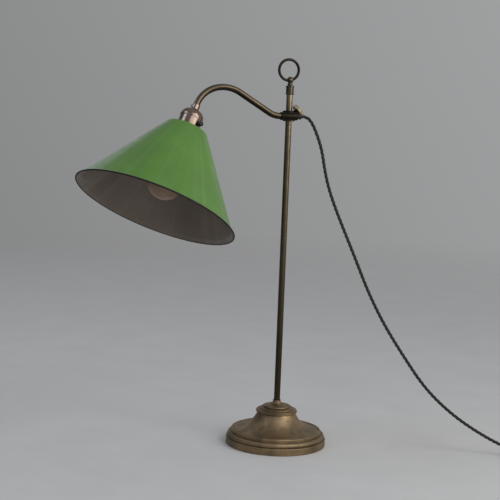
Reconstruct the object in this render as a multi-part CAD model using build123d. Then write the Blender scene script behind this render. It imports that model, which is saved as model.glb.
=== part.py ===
from build123d import *
import math
import os

# Rise and fall table lamp: a weighted round base, a slim stem, a cross clamp that slides
# and turns on it, a swan neck arm with an enamelled cone shade, and a flex with its plug.
# Millimetres, +Z up. The origin lies under the stem, on the surface that the base stands on.
# The clamp's barrel runs along X and the arm reaches out towards -X.

# Fits
RUN_CLEARANCE = 0.05  # radial, between pieces that turn or slide on each other
SEAT_CLEARANCE = 0.15  # radial, between fixed pieces that slip over each other
FREE_CLEARANCE = 0.4  # between pieces that pass each other without touching

# Base
BASE_D = 160.0
BASE_RIM_LIFT = 0.5  # the rim stands clear of the table, on the felt
BASE_RIM_WALL = 3.5
BASE_BAND_TOP = 9.9
BASE_BAND_ROUND = 1.4
BASE_TORUS_TOP = 19.0
BASE_TORUS_INSET = 5.0
BASE_TORUS_SWELL = 1.9
BASE_STEP_INSET = 7.8  # radial, from the rim to the upper step
BASE_STEP_TOP = 24.3
BASE_STEP_ROUND = 1.8
BASE_GROOVE_INSET = 11.2
BASE_GROOVE_W = 1.8
BASE_GROOVE_DEPTH = 0.9
FLARE_HOLLOW = 7.2
FLARE_NECK_INSET = 1.6  # the ring above stands out over the flare's neck
FLARE_TOP_DROP = 0.7
BASE_RING_D = 64.4
BASE_RING_Z = 52.2
BASE_RING_BEAD_H = 2.4
BASE_RING_BEAD = 1.1
BASE_FINE_BEAD_H = 1.6
BASE_FINE_BEAD = 0.6
BASE_MID_BEAD_D = 53.0
BASE_MID_BEAD_Z = 57.4
BASE_MID_BEAD_H = 1.5
BASE_MID_BEAD = 0.5
BASE_DISC_D = 42.0
BASE_DISC_Z = 60.2
BASE_DISC_BEAD_H = 2.4
BASE_DISC_BEAD = 0.8
BASE_TOP_D = 21.0
BASE_TOP_Z = 64.6
BASE_WALL = 1.5
BASE_LEDGE_Z = 13.0

# Felt, weight and the fixing of the stem
FELT_T = 2.5
WEIGHT_RECESS_D = 36.0
WEIGHT_RECESS_TOP = 14.0
WASHER_D = 28.0
WASHER_T = 2.0
NUT_ACROSS_FLATS = 17.0
NUT_H = 5.0
STEM_BOTTOM_Z = 5.5

# Stem and its foot
STEM_D = 10.0
STEM_WALL = 1.5
STEM_TOP_Z = 566.0
FOOT_D = 18.6
FOOT_H = 6.6
FOOT_TOP_D = 12.8
FOOT_FLARE = 1.3

# Finial and carrying ring
FERRULE_GRIP = 7.5  # length of the stem inside the ferrule
FERRULE_CAP = 4.3  # height of the ferrule above the stem's end
FERRULE_D = 12.2
FERRULE_BEAD_H = 2.6
FERRULE_BEAD = 0.7
SPIGOT_D = 6.6
SPIGOT_H = 3.2
FLANGE_D = 13.4
FLANGE_T = 1.9
NECK_D = 7.0
NECK_BEAD_D = 9.2
NECK_BEAD_T = 1.6
NECK_BEAD_LIFT = 1.0  # from the flange's top
BALL_D = 10.6
BALL_RISE = 8.8  # from the flange's top to the ball's centre
BALL_HOLE_D = 6.6
RING_MEAN_D = 32.4
RING_WIRE_D = 4.3
RING_LEAN = 10.0  # degrees, in the ring's own plane
RING_DROP = 0.5  # the wire lies a little low in the ball's hole

# Cross clamp
CLAMP_Z = 525.0
COLLAR_D = 20.0
COLLAR_BELOW = 6.6
COLLAR_ABOVE = 8.5
COLLAR_ROUND = 1.2
BUSH_WALL = 1.4
BUSH_FLANGE_D = 18.8
BUSH_FLANGE_T = 1.5
BUSH_SLIT = 1.2
BARREL_WALL_TO_BUSH = 1.1
BARREL_FRONT_X = -19.0
BARREL_TAIL_X = 9.0
BARREL_END_D = 12.2
BARREL_SWELL = 0.7
WEB_W = 15.0
WEB_H = 9.0

# Thumbscrew
SCREW_RISE = 37.0  # degrees above the horizontal
SCREW_AIM_DROP = 3.0  # its axis meets the stem's axis this far below the barrel
SCREW_D = 5.0
SCREW_TIP_D = 2.4
SCREW_TIP_START = 9.1
SCREW_TIP_END = 11.0
BOSS_D = 10.0
BOSS_END = 15.4
KNOB_START = 16.3
KNOB_D = 21.5
KNOB_T = 5.4
KNOB_CHAMFER = 0.6
KNOB_NOTCHES = 20
KNOB_NOTCH_D = 1.6

# Swan neck arm
ARM_D = 10.0
ARM_WALL = 1.0
ARM_ROLL = 15.2  # degrees, the arm's arch turned in the clamp's barrel
ARM_BEND_X = -20.4
ARM_BEND_R = 30.0
ARM_RISE = 33.0  # degrees
ARM_RAMP = 54.8
ARM_ARCH_R = 48.5
ARM_END_TILT = 24.0  # degrees from the upright, in the arm's plane
ARM_INTO_HOLDER = 17.5

# Tail bush, where the flex leaves the arm
TAIL_FLANGE_D = 9.0
TAIL_FLANGE_T = 6.2
TAIL_SPIGOT_L = 5.0

# Lampholder, on its own axis with +Z towards the arm and zero at the top of the shade
HOLDER_DROP = 42.0  # from the end of the arm's arch to the top of the shade
HOLDER_D = 36.0
HOLDER_FLANGE_T = 2.2
HOLDER_SPIGOT_H = 3.0
HOLDER_BARREL_D = 28.4
HOLDER_BARREL_L = 26.0
CAP_WALL = 1.0
CAP_SKIRT_TOP = 16.0
CAP_TOP_Z = 30.6
CAP_TOP_D = 21.0
CAP_DOME = 3.2
ENTRY_D = 12.4
ENTRY_FOOT_D = 16.0
ENTRY_FOOT_H = 1.0
ENTRY_COVE_H = 1.8
ENTRY_COVE = 0.5
ENTRY_H = 10.2
ENTRY_ROUND = 0.7
ENTRY_NUT_FLATS = 15.0
ENTRY_NUT_H = 3.0
GRUB_D = 3.4
GRUB_Z = 35.6
GRUB_PROUD = 2.2
GRUB_TURN = 205.0  # degrees about the holder's axis
BLOCK_D = 22.6
BLOCK_FLANGE_D = 29.0
BLOCK_FLANGE_T = 3.2
BLOCK_BOTTOM = -9.0
BLOCK_TOP = 17.0
PLUNGER_D = 4.6
PLUNGER_PITCH = 12.0
PLUNGER_DEPTH = 6.0
SHADE_RING_D = 36.0
SHADE_RING_H = 4.6
SHADE_RING_CHAMFER = 0.6
SWITCH_D = 7.4
SWITCH_Z = 9.6
SWITCH_OUT = 26.5  # from the holder's axis to the end that stands out
SWITCH_BACK = 20.4  # from the holder's axis to the pushed in end
SWITCH_TURN = -55.0  # degrees about the holder's axis
SWITCH_END_ROUND = 1.4

# Shade
SHADE_MOUTH_D = 252.0
SHADE_TOP_D = 64.0
SHADE_H = 134.5
SHADE_FLARE = 2.6  # the mouth's reach beyond the cone's straight side
SHADE_LIP_H = 4.0
SHADE_T = 0.9
SHADE_SHOULDER_R = 3.0
SHADE_RIM_D = 2.4

# Bayonet bulb
BULB_CAP_D = 22.0
BULB_CAP_TOP = -14.0
BULB_CONTACT_D = 17.0
BULB_CONTACT_H = 1.0
BULB_CAP_H = 23.0
BAYONET_PIN_D = 2.0
BAYONET_PIN_REACH = 2.3
BAYONET_PIN_DROP = 6.5
BAYONET_SLOT_W = 2.8
BULB_D = 60.0
BULB_TIP = -117.5
BULB_NECK_D = 24.0
BULB_NECK_SWELL = 1.5
BULB_SHOULDER_DROP = 14.0
BULB_GLASS_T = 0.9

# Flex: the points of its centre line from the arm's tail to the coil, chosen by hand
CORD_D = 5.5
CORD_ROUTE = [
    (15.2, -12.65, 525.0),
    (24.2, -12.65, 525.0),
    (32.8, -13.2, 520.7),
    (39.6, -14.5, 511.4),
    (45.4, -16.4, 495.0),
    (49.7, -18.4, 473.0),
    (54.0, -20.3, 446.0),
    (57.0, -21.65, 432.0),
    (60.0, -23.0, 418.0),
    (70.5, -27.6, 388.0),
    (85.1, -34.1, 352.0),
    (104.3, -42.6, 306.0),
    (126.2, -52.4, 255.0),
    (151.8, -63.8, 204.0),
    (182.9, -77.6, 153.0),
    (219.4, -93.9, 101.5),
    (260.5, -112.2, 61.5),
    (302.5, -130.9, 33.0),
    (339.1, -147.1, 13.5),
    (369.2, -160.5, 4.15),
    (393.0, -171.1, 4.15),
]
CORD_UPPER_COUNT = 8  # points of the upper stretch, the last of which starts the hanging one

# Put away coil, its tie and the plug beyond it
COIL_R = 35.0  # first half turn
COIL_PITCH = 6.1  # between neighbouring turns, and between the two layers
COIL_HALF_TURNS_IN = 5
COIL_HALF_TURNS_OUT = 6
COIL_TAIL = 45.0
TIE_T = 1.0
TIE_W = 6.0
TIE_PLACE = 38.0  # across the coil from its first turn
PLUG_L = 50.0
PLUG_W = 48.0
PLUG_NOSE_W = 27.0
PLUG_SHOULDER = 15.0
PLUG_COVER_H = 15.0
PLUG_BASE_H = 6.0
PLUG_CORNER_R = 5.0
PLUG_EDGE_CHAMFER = 1.2
PLUG_ENTRY_DEPTH = 6.0
PIN_T = 4.0
LIVE_PIN_W = 6.35
LIVE_PIN_L = 17.7
EARTH_PIN_W = 8.0
EARTH_PIN_L = 22.7
PIN_SPREAD = 22.2
LIVE_PIN_PLACE = 16.0
PIN_SINK = 3.0
PLUG_SCREW_D = 6.0
PLUG_SCREW_H = 4.0

# Shares and counts that belong to no one piece
QUARTER_SAG = 1 - math.sqrt(0.5)  # height of a quarter round over its chord, per unit of radius
BEND_SHARE = 0.45  # part of the shorter run that a bend of the flex takes up
GAP_SAMPLES = 900  # points along the coil on which the space between its turns is measured

# Values that follow from the ones above
BASE_R = BASE_D / 2
STEM_R = STEM_D / 2
ARM_R = ARM_D / 2
CORD_R = CORD_D / 2
BUSH_BORE_R = STEM_R + RUN_CLEARANCE
BUSH_R = BUSH_BORE_R + BUSH_WALL
COLLAR_BORE_R = BUSH_R + RUN_CLEARANCE
BARREL_BORE_R = ARM_R + RUN_CLEARANCE
BARREL_Y = -(COLLAR_BORE_R + BARREL_WALL_TO_BUSH + BARREL_BORE_R)
FERRULE_BOTTOM_Z = STEM_TOP_Z - FERRULE_GRIP
FERRULE_TOP_Z = STEM_TOP_Z + FERRULE_CAP
BALL_Z = FERRULE_TOP_Z + FLANGE_T + BALL_RISE
COLLAR_BOTTOM_Z = CLAMP_Z - COLLAR_BELOW
COLLAR_TOP_Z = CLAMP_Z + COLLAR_ABOVE
CAP_INNER_R = HOLDER_D / 2 - CAP_WALL
BLOCK_R = BLOCK_D / 2
HOLDER_BORE_R = BLOCK_R + SEAT_CLEARANCE
BULB_CAP_BOTTOM = BULB_CAP_TOP - BULB_CONTACT_H - BULB_CAP_H
ROLL = math.radians(ARM_ROLL)
ARM_PLANE = Plane(
    origin=(0, BARREL_Y, CLAMP_Z), x_dir=(1, 0, 0), z_dir=(0, -math.cos(ROLL), math.sin(ROLL))
)
SCREW_UP = math.radians(SCREW_RISE)
SCREW_PLANE = Plane(
    origin=(0, 0, CLAMP_Z - SCREW_AIM_DROP),
    x_dir=(0, 1, 0),
    z_dir=(math.cos(SCREW_UP), 0, math.sin(SCREW_UP)),
)


# Shared operations
def bulge(start, end, height):
    """Arc that swells outwards on an outline drawn upwards and inwards; a minus hollows it."""
    return SagittaArc(start, end, -height)


def turned(*edges):
    """Solid turned about Z from a closed outline in radius and height."""
    return revolve(Plane.XZ * make_face(edges), Axis.Z)


def rod(radius, low, high):
    """Cylinder on the Z axis between two heights."""
    return Pos(0, 0, low) * Cylinder(radius, high - low, align=(Align.CENTER, Align.CENTER, Align.MIN))


def sleeve(inner, outer, low, high):
    """Tube on the Z axis between two heights."""
    return rod(outer, low, high) - rod(inner, low, high)


def round_tube(path, radius):
    """Solid round section swept along a path."""
    return sweep(Plane(origin=path @ 0, z_dir=path % 0) * Circle(radius), path=path)


# Base
def flare_ends(inset):
    """Foot and neck of the base's trumpet flare, drawn in by a wall."""
    foot_r = BASE_R - BASE_GROOVE_INSET - BASE_GROOVE_W
    neck_r = BASE_RING_D / 2 - FLARE_NECK_INSET
    neck_z = BASE_RING_Z - FLARE_TOP_DROP
    return (foot_r - inset, BASE_STEP_TOP - inset), (neck_r - inset, neck_z - inset)


def base_outline():
    """Outer outline of the base, from the rim up to the stem's foot."""
    torus_r = BASE_R - BASE_TORUS_INSET
    step_r = BASE_R - BASE_STEP_INSET
    groove_r = BASE_R - BASE_GROOVE_INSET
    ledge_r = BASE_R - 2 * BASE_BAND_ROUND
    band_z = BASE_BAND_TOP + BASE_BAND_ROUND
    ring_r = BASE_RING_D / 2
    bead_z = BASE_RING_Z + BASE_RING_BEAD_H
    fine_z = bead_z + BASE_FINE_BEAD_H
    fine_r = ring_r - BASE_FINE_BEAD
    mid_r = BASE_MID_BEAD_D / 2
    mid_z = BASE_MID_BEAD_Z + BASE_MID_BEAD_H
    disc_r = BASE_DISC_D / 2
    disc_z = BASE_DISC_Z + BASE_DISC_BEAD_H
    foot, neck = flare_ends(0)
    return [
        Line((BASE_R, BASE_RIM_LIFT), (BASE_R, BASE_BAND_TOP)),
        bulge((BASE_R, BASE_BAND_TOP), (BASE_R - BASE_BAND_ROUND, band_z), BASE_BAND_ROUND * QUARTER_SAG),
        Line((BASE_R - BASE_BAND_ROUND, band_z), (ledge_r, band_z)),
        bulge((ledge_r, band_z), (torus_r, BASE_TORUS_TOP), BASE_TORUS_SWELL),
        Line((torus_r, BASE_TORUS_TOP), (step_r, BASE_TORUS_TOP)),
        Line((step_r, BASE_TORUS_TOP), (step_r, BASE_STEP_TOP - BASE_STEP_ROUND)),
        bulge(
            (step_r, BASE_STEP_TOP - BASE_STEP_ROUND),
            (step_r - BASE_STEP_ROUND, BASE_STEP_TOP),
            BASE_STEP_ROUND * QUARTER_SAG,
        ),
        Line((step_r - BASE_STEP_ROUND, BASE_STEP_TOP), (groove_r, BASE_STEP_TOP)),
        bulge((groove_r, BASE_STEP_TOP), foot, -BASE_GROOVE_DEPTH),
        bulge(foot, neck, -FLARE_HOLLOW),
        Line(neck, (ring_r, BASE_RING_Z)),
        bulge((ring_r, BASE_RING_Z), (ring_r, bead_z), BASE_RING_BEAD),
        Line((ring_r, bead_z), (fine_r, bead_z)),
        bulge((fine_r, bead_z), (fine_r, fine_z), BASE_FINE_BEAD),
        bulge((fine_r, fine_z), (mid_r, BASE_MID_BEAD_Z), -BASE_MID_BEAD),
        bulge((mid_r, BASE_MID_BEAD_Z), (mid_r, mid_z), BASE_MID_BEAD),
        bulge((mid_r, mid_z), (disc_r, BASE_DISC_Z), -BASE_MID_BEAD),
        bulge((disc_r, BASE_DISC_Z), (disc_r, disc_z), BASE_DISC_BEAD),
        Line((disc_r, disc_z), (BASE_TOP_D / 2, BASE_TOP_Z)),
    ]


def base_hollow():
    """Space under the base's shell, with a flat ledge that the weight comes up against."""
    rim_r = BASE_R - BASE_RIM_WALL
    foot, neck = flare_ends(BASE_WALL)
    top_z = BASE_DISC_Z - BASE_WALL
    return turned(
        Polyline((0, 0), (rim_r, 0), (rim_r, BASE_LEDGE_Z), (foot[0], BASE_LEDGE_Z), foot),
        bulge(foot, neck, -FLARE_HOLLOW),
        Polyline(neck, (BASE_DISC_D / 2 - 2 * BASE_WALL, top_z), (0, top_z), (0, 0)),
    )


def make_base_shell():
    top = (BASE_TOP_D / 2, BASE_TOP_Z)
    closing = Polyline(top, (0, BASE_TOP_Z), (0, BASE_RIM_LIFT), (BASE_R, BASE_RIM_LIFT))
    shell = turned(*base_outline(), closing) - base_hollow()
    return shell - rod(STEM_R + SEAT_CLEARANCE, 0, BASE_TOP_Z)


def make_base_weight():
    rim_r = BASE_R - BASE_RIM_WALL - FREE_CLEARANCE
    foot, neck = flare_ends(BASE_WALL + FREE_CLEARANCE)
    top_z = neck[1]
    weight = turned(
        Polyline((0, FELT_T), (rim_r, FELT_T), (rim_r, BASE_LEDGE_Z), (foot[0], BASE_LEDGE_Z), foot),
        bulge(foot, neck, -FLARE_HOLLOW),
        Polyline(neck, (0, top_z), (0, FELT_T)),
    )
    recess = rod(WEIGHT_RECESS_D / 2, FELT_T, WEIGHT_RECESS_TOP)
    return weight - recess - rod(STEM_R + FREE_CLEARANCE, FELT_T, top_z)


def make_base_felt():
    return rod(BASE_R - BASE_RIM_WALL - FREE_CLEARANCE, 0, FELT_T)


def make_stem_washer():
    low = WEIGHT_RECESS_TOP - WASHER_T
    return sleeve(STEM_R + SEAT_CLEARANCE, WASHER_D / 2, low, WEIGHT_RECESS_TOP)


def hex_nut(across_flats, bore_r, low, height):
    """Plain hexagon nut on the Z axis."""
    flat = RegularPolygon(across_flats / 2, 6, major_radius=False) - Circle(bore_r)
    return Pos(0, 0, low) * extrude(flat, height)


def make_stem_nut():
    low = WEIGHT_RECESS_TOP - WASHER_T - NUT_H
    return hex_nut(NUT_ACROSS_FLATS, STEM_R + SEAT_CLEARANCE, low, NUT_H)


# Stem, foot and finial
def make_stem():
    return sleeve(STEM_R - STEM_WALL, STEM_R, STEM_BOTTOM_Z, STEM_TOP_Z)


def make_stem_foot():
    bore_r = STEM_R + SEAT_CLEARANCE
    foot = (FOOT_D / 2, BASE_TOP_Z)
    lip = (FOOT_D / 2, BASE_TOP_Z + FOOT_FLARE)
    top = (FOOT_TOP_D / 2, BASE_TOP_Z + FOOT_H)
    return turned(
        Line(foot, lip),
        bulge(lip, top, -FOOT_FLARE),
        Polyline(top, (bore_r, top[1]), (bore_r, BASE_TOP_Z), foot),
    )


def make_finial_ferrule():
    bore_r = STEM_R + SEAT_CLEARANCE
    outer_r = FERRULE_D / 2
    low = (outer_r, FERRULE_BOTTOM_Z)
    bead_top = (outer_r, FERRULE_BOTTOM_Z + FERRULE_BEAD_H)
    body = turned(
        bulge(low, bead_top, FERRULE_BEAD),
        Polyline(
            bead_top, (outer_r, FERRULE_TOP_Z), (0, FERRULE_TOP_Z), (0, FERRULE_BOTTOM_Z), low
        ),
    )
    socket = rod(SPIGOT_D / 2 + SEAT_CLEARANCE, STEM_TOP_Z, FERRULE_TOP_Z)
    return body - rod(bore_r, FERRULE_BOTTOM_Z, STEM_TOP_Z) - socket


def make_finial_stud():
    flange_top = FERRULE_TOP_Z + FLANGE_T
    stud = rod(SPIGOT_D / 2, FERRULE_TOP_Z - SPIGOT_H, FERRULE_TOP_Z)
    stud += rod(FLANGE_D / 2, FERRULE_TOP_Z, flange_top)
    stud += rod(NECK_D / 2, flange_top, BALL_Z)
    bead_z = flange_top + NECK_BEAD_LIFT
    stud += rod(NECK_BEAD_D / 2, bead_z, bead_z + NECK_BEAD_T)
    stud += Pos(0, 0, BALL_Z) * Sphere(BALL_D / 2)
    cross_hole = Pos(0, 0, BALL_Z) * Rot(0, 90, 0) * Cylinder(BALL_HOLE_D / 2, 2 * BALL_D)
    return stud - cross_hole


def make_carrying_ring():
    lean = math.radians(RING_LEAN)
    centre_x = -RING_MEAN_D / 2 * math.sin(lean)
    centre_z = BALL_Z - RING_DROP + RING_MEAN_D / 2 * math.cos(lean)
    return Pos(centre_x, 0, centre_z) * Rot(90, 0, 0) * Torus(RING_MEAN_D / 2, RING_WIRE_D / 2)


# Cross clamp
def make_slide_bush():
    bush = sleeve(BUSH_BORE_R, BUSH_R, COLLAR_BOTTOM_Z - BUSH_FLANGE_T, COLLAR_TOP_Z)
    bush += sleeve(BUSH_BORE_R, BUSH_FLANGE_D / 2, COLLAR_BOTTOM_Z - BUSH_FLANGE_T, COLLAR_BOTTOM_Z)
    slit_h = COLLAR_ABOVE + COLLAR_BELOW + BUSH_FLANGE_T
    slit = Pos(-BUSH_FLANGE_D / 2, 0, COLLAR_TOP_Z) * Box(BUSH_FLANGE_D, BUSH_SLIT, 2 * slit_h)
    return bush - slit


def clamp_collar():
    """Upright collar with rounded rims, round the bush."""
    outer_r = COLLAR_D / 2
    rim_r = outer_r - COLLAR_ROUND
    low = COLLAR_BOTTOM_Z
    high = COLLAR_TOP_Z
    return turned(
        Polyline((0, high), (0, low), (rim_r, low)),
        bulge((rim_r, low), (outer_r, low + COLLAR_ROUND), COLLAR_ROUND * QUARTER_SAG),
        Line((outer_r, low + COLLAR_ROUND), (outer_r, high - COLLAR_ROUND)),
        bulge((outer_r, high - COLLAR_ROUND), (rim_r, high), COLLAR_ROUND * QUARTER_SAG),
        Line((rim_r, high), (0, high)),
    )


def clamp_barrel():
    """Boat shaped barrel along X, widest in the middle of its length."""
    end_r = BARREL_END_D / 2
    tail = (end_r, BARREL_TAIL_X)
    front = (end_r, BARREL_FRONT_X)
    along_z = turned(
        bulge(front, tail, BARREL_SWELL),
        Polyline(tail, (0, BARREL_TAIL_X), (0, BARREL_FRONT_X), front),
    )
    return Pos(0, BARREL_Y, CLAMP_Z) * Rot(0, 90, 0) * along_z


def make_clamp_body():
    web = Pos(0, BARREL_Y / 2, CLAMP_Z) * Box(WEB_W, -BARREL_Y, WEB_H)
    boss = SCREW_PLANE * rod(BOSS_D / 2, BUSH_R, BOSS_END)
    body = clamp_collar() + clamp_barrel() + web + boss
    barrel_l = BARREL_TAIL_X - BARREL_FRONT_X
    bore_at = Pos((BARREL_TAIL_X + BARREL_FRONT_X) / 2, BARREL_Y, CLAMP_Z) * Rot(0, 90, 0)
    body -= bore_at * Cylinder(BARREL_BORE_R, 2 * barrel_l)
    body -= rod(COLLAR_BORE_R, COLLAR_BOTTOM_Z - COLLAR_D, COLLAR_TOP_Z + COLLAR_D)
    return body - SCREW_PLANE * rod(SCREW_D / 2 + RUN_CLEARANCE, 0, BOSS_END)


def make_clamp_screw():
    shank = rod(SCREW_D / 2, SCREW_TIP_END, KNOB_START)
    tip = rod(SCREW_TIP_D / 2, SCREW_TIP_START, SCREW_TIP_END)
    return SCREW_PLANE * (shank + tip)


def make_clamp_knob():
    outer_r = KNOB_D / 2
    top = KNOB_START + KNOB_T
    disc = rod(outer_r, KNOB_START, top)
    disc = chamfer(disc.edges().filter_by(GeomType.CIRCLE), KNOB_CHAMFER)
    notch = rod(KNOB_NOTCH_D / 2, KNOB_START - KNOB_T, top + KNOB_T)
    return SCREW_PLANE * (disc - PolarLocations(outer_r, KNOB_NOTCHES) * notch)


# Arm
def arm_centre_line(start_x, end_length):
    """Centre line of the arm: level through the clamp, up a ramp, over an arch and down."""
    ramp_turn = math.radians(180 - ARM_RISE)
    level = Line((start_x, 0), (ARM_BEND_X, 0))
    bend = JernArc(level @ 1, (-1, 0), ARM_BEND_R, -ARM_RISE)
    foot = bend @ 1
    top = foot + Vector(math.cos(ramp_turn), math.sin(ramp_turn)) * ARM_RAMP
    ramp = Line(foot, top)
    arch = JernArc(top, ramp % 1, ARM_ARCH_R, ARM_RISE + 90 - ARM_END_TILT)
    end = Line(arch @ 1, (arch @ 1) + (arch % 1) * end_length)
    return ARM_PLANE * Wire([level, bend, ramp, arch, end])


def holder_plane():
    """Place of the lampholder: zero at the top of the shade, +Z along the arm's end."""
    path = arm_centre_line(BARREL_TAIL_X, HOLDER_DROP)
    upwards = (path % 1) * -1
    return Plane(origin=path @ 1, x_dir=upwards.cross(ARM_PLANE.z_dir), z_dir=upwards)


HOLDER_PLANE = holder_plane()


def make_arm_tube():
    path = arm_centre_line(BARREL_TAIL_X, ARM_INTO_HOLDER)
    return round_tube(path, ARM_R) - round_tube(path, ARM_R - ARM_WALL)


def make_tail_bush():
    bore_r = CORD_R + SEAT_CLEARANCE
    spigot_r = ARM_R - ARM_WALL - SEAT_CLEARANCE
    bush = sleeve(bore_r, spigot_r, -TAIL_SPIGOT_L, 0) + sleeve(bore_r, TAIL_FLANGE_D / 2, 0, TAIL_FLANGE_T)
    return Pos(BARREL_TAIL_X, BARREL_Y, CLAMP_Z) * Rot(0, 90, 0) * bush


def make_arm_cord():
    length = HOLDER_DROP - BLOCK_TOP - FREE_CLEARANCE
    return round_tube(arm_centre_line(BARREL_TAIL_X + TAIL_FLANGE_T, length), CORD_R)


# Lampholder
def across_holder(radius, low, high, turn, height):
    """Rod square to the holder's axis, turned about it, at a height."""
    return Pos(0, 0, height) * Rot(0, 0, turn) * Rot(0, 90, 0) * rod(radius, low, high)


def make_holder_entry():
    bore_r = ARM_R + SEAT_CLEARANCE
    foot = (ENTRY_FOOT_D / 2, CAP_TOP_Z)
    lip = (ENTRY_FOOT_D / 2, CAP_TOP_Z + ENTRY_FOOT_H)
    waist = (ENTRY_D / 2, lip[1] + ENTRY_COVE_H)
    top_z = CAP_TOP_Z + ENTRY_H
    shoulder = (ENTRY_D / 2, top_z - ENTRY_ROUND)
    rim = (ENTRY_D / 2 - ENTRY_ROUND, top_z)
    collar = turned(
        Line(foot, lip),
        bulge(lip, waist, -ENTRY_COVE),
        Line(waist, shoulder),
        bulge(shoulder, rim, ENTRY_ROUND * QUARTER_SAG),
        Polyline(rim, (bore_r, top_z), (bore_r, CAP_TOP_Z), foot),
    )
    hole = across_holder(GRUB_D / 2 + SEAT_CLEARANCE, 0, ENTRY_D, GRUB_TURN, GRUB_Z)
    return HOLDER_PLANE * (collar - hole)


def make_entry_grub_screw():
    grub = across_holder(GRUB_D / 2, ARM_R + SEAT_CLEARANCE, ENTRY_D / 2 + GRUB_PROUD, GRUB_TURN, GRUB_Z)
    return HOLDER_PLANE * grub


def make_entry_nut():
    low = CAP_TOP_Z - CAP_WALL - ENTRY_NUT_H
    return HOLDER_PLANE * hex_nut(ENTRY_NUT_FLATS, ARM_R + SEAT_CLEARANCE, low, ENTRY_NUT_H)


def cap_outline(skirt_r, top_r, top_z):
    """Turned solid of the cap's outer or inner form, from the flange up to the flat top."""
    shoulder = (skirt_r, CAP_SKIRT_TOP)
    return turned(
        Polyline((0, top_z), (0, HOLDER_FLANGE_T), (skirt_r, HOLDER_FLANGE_T), shoulder),
        bulge(shoulder, (top_r, top_z), CAP_DOME),
        Line((top_r, top_z), (0, top_z)),
    )


def make_holder_cap():
    cap = cap_outline(HOLDER_D / 2, CAP_TOP_D / 2, CAP_TOP_Z)
    cap -= cap_outline(CAP_INNER_R, CAP_TOP_D / 2, CAP_TOP_Z - CAP_WALL)
    cap -= rod(ARM_R + SEAT_CLEARANCE, 0, CAP_TOP_Z)
    window = across_holder(SWITCH_D / 2 + FREE_CLEARANCE, -HOLDER_D, HOLDER_D, SWITCH_TURN, SWITCH_Z)
    return HOLDER_PLANE * (cap - window)


def make_holder_body():
    spigot_top = HOLDER_FLANGE_T + HOLDER_SPIGOT_H
    barrel_r = HOLDER_BARREL_D / 2
    body = sleeve(HOLDER_BORE_R, barrel_r, -HOLDER_BARREL_L, 0)
    body += sleeve(HOLDER_BORE_R, HOLDER_D / 2, 0, HOLDER_FLANGE_T)
    body += sleeve(HOLDER_BORE_R, CAP_INNER_R - SEAT_CLEARANCE, HOLDER_FLANGE_T, spigot_top)
    slot_top = BULB_CAP_TOP - BULB_CONTACT_H - BAYONET_PIN_DROP + BAYONET_SLOT_W / 2
    slot_h = slot_top + HOLDER_BARREL_L
    slot = Pos(0, 0, slot_top - slot_h / 2) * Box(BAYONET_SLOT_W, 2 * HOLDER_D, slot_h)
    return HOLDER_PLANE * (body - slot)


def make_terminal_block():
    seat = HOLDER_FLANGE_T + HOLDER_SPIGOT_H
    block = rod(BLOCK_R, BLOCK_BOTTOM, BLOCK_TOP)
    block += rod(BLOCK_FLANGE_D / 2, seat, seat + BLOCK_FLANGE_T)
    block -= across_holder(SWITCH_D / 2 + RUN_CLEARANCE, -HOLDER_D, HOLDER_D, SWITCH_TURN, SWITCH_Z)
    hole = rod(PLUNGER_D / 2 + SEAT_CLEARANCE, BLOCK_BOTTOM, BLOCK_BOTTOM + PLUNGER_DEPTH)
    return HOLDER_PLANE * (block - GridLocations(PLUNGER_PITCH, 0, 2, 1) * hole)


def make_contact_plungers():
    plunger = rod(PLUNGER_D / 2, BULB_CAP_TOP, BLOCK_BOTTOM + PLUNGER_DEPTH)
    return [HOLDER_PLANE * (place * plunger) for place in GridLocations(PLUNGER_PITCH, 0, 2, 1)]


def make_switch_bar():
    bar = across_holder(SWITCH_D / 2, -SWITCH_BACK, SWITCH_OUT, SWITCH_TURN, SWITCH_Z)
    ends = bar.edges().filter_by(GeomType.CIRCLE)
    return HOLDER_PLANE * fillet(ends, SWITCH_END_ROUND)


def make_shade_ring():
    low = -SHADE_T - SHADE_RING_H
    ring = sleeve(HOLDER_BARREL_D / 2 + SEAT_CLEARANCE, SHADE_RING_D / 2, low, -SHADE_T)
    rims = ring.edges().filter_by(GeomType.CIRCLE).group_by(SortBy.RADIUS)[-1]
    return HOLDER_PLANE * chamfer(rims, SHADE_RING_CHAMFER)


# Shade and bulb
def make_shade():
    hole_r = HOLDER_BARREL_D / 2 + SEAT_CLEARANCE
    top_r = SHADE_TOP_D / 2
    mouth_r = SHADE_MOUTH_D / 2
    slant = math.atan2(mouth_r - SHADE_FLARE - top_r, SHADE_H)
    wall = SHADE_T / math.cos(slant)
    inner_top_r = top_r - wall + SHADE_T * math.tan(slant)
    lip_r = mouth_r - SHADE_FLARE - SHADE_LIP_H * math.tan(slant)
    lip_z = SHADE_LIP_H - SHADE_H
    outline = make_face(
        Polyline(
            (hole_r, 0),
            (top_r, 0),
            (lip_r, lip_z),
            (mouth_r, -SHADE_H),
            (mouth_r - wall, -SHADE_H),
            (lip_r - wall, lip_z),
            (inner_top_r, -SHADE_T),
            (hole_r, -SHADE_T),
            close=True,
        )
    )
    outer_corner = outline.vertices().sort_by_distance((top_r, 0))[0]
    outline = fillet(outer_corner, SHADE_SHOULDER_R)
    inner_corner = outline.vertices().sort_by_distance((inner_top_r, -SHADE_T))[0]
    outline = fillet(inner_corner, SHADE_SHOULDER_R - SHADE_T)
    outline += Pos(mouth_r - wall / 2, -SHADE_H) * Circle(SHADE_RIM_D / 2)
    return HOLDER_PLANE * revolve(Plane.XZ * outline, Axis.Z)


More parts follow.
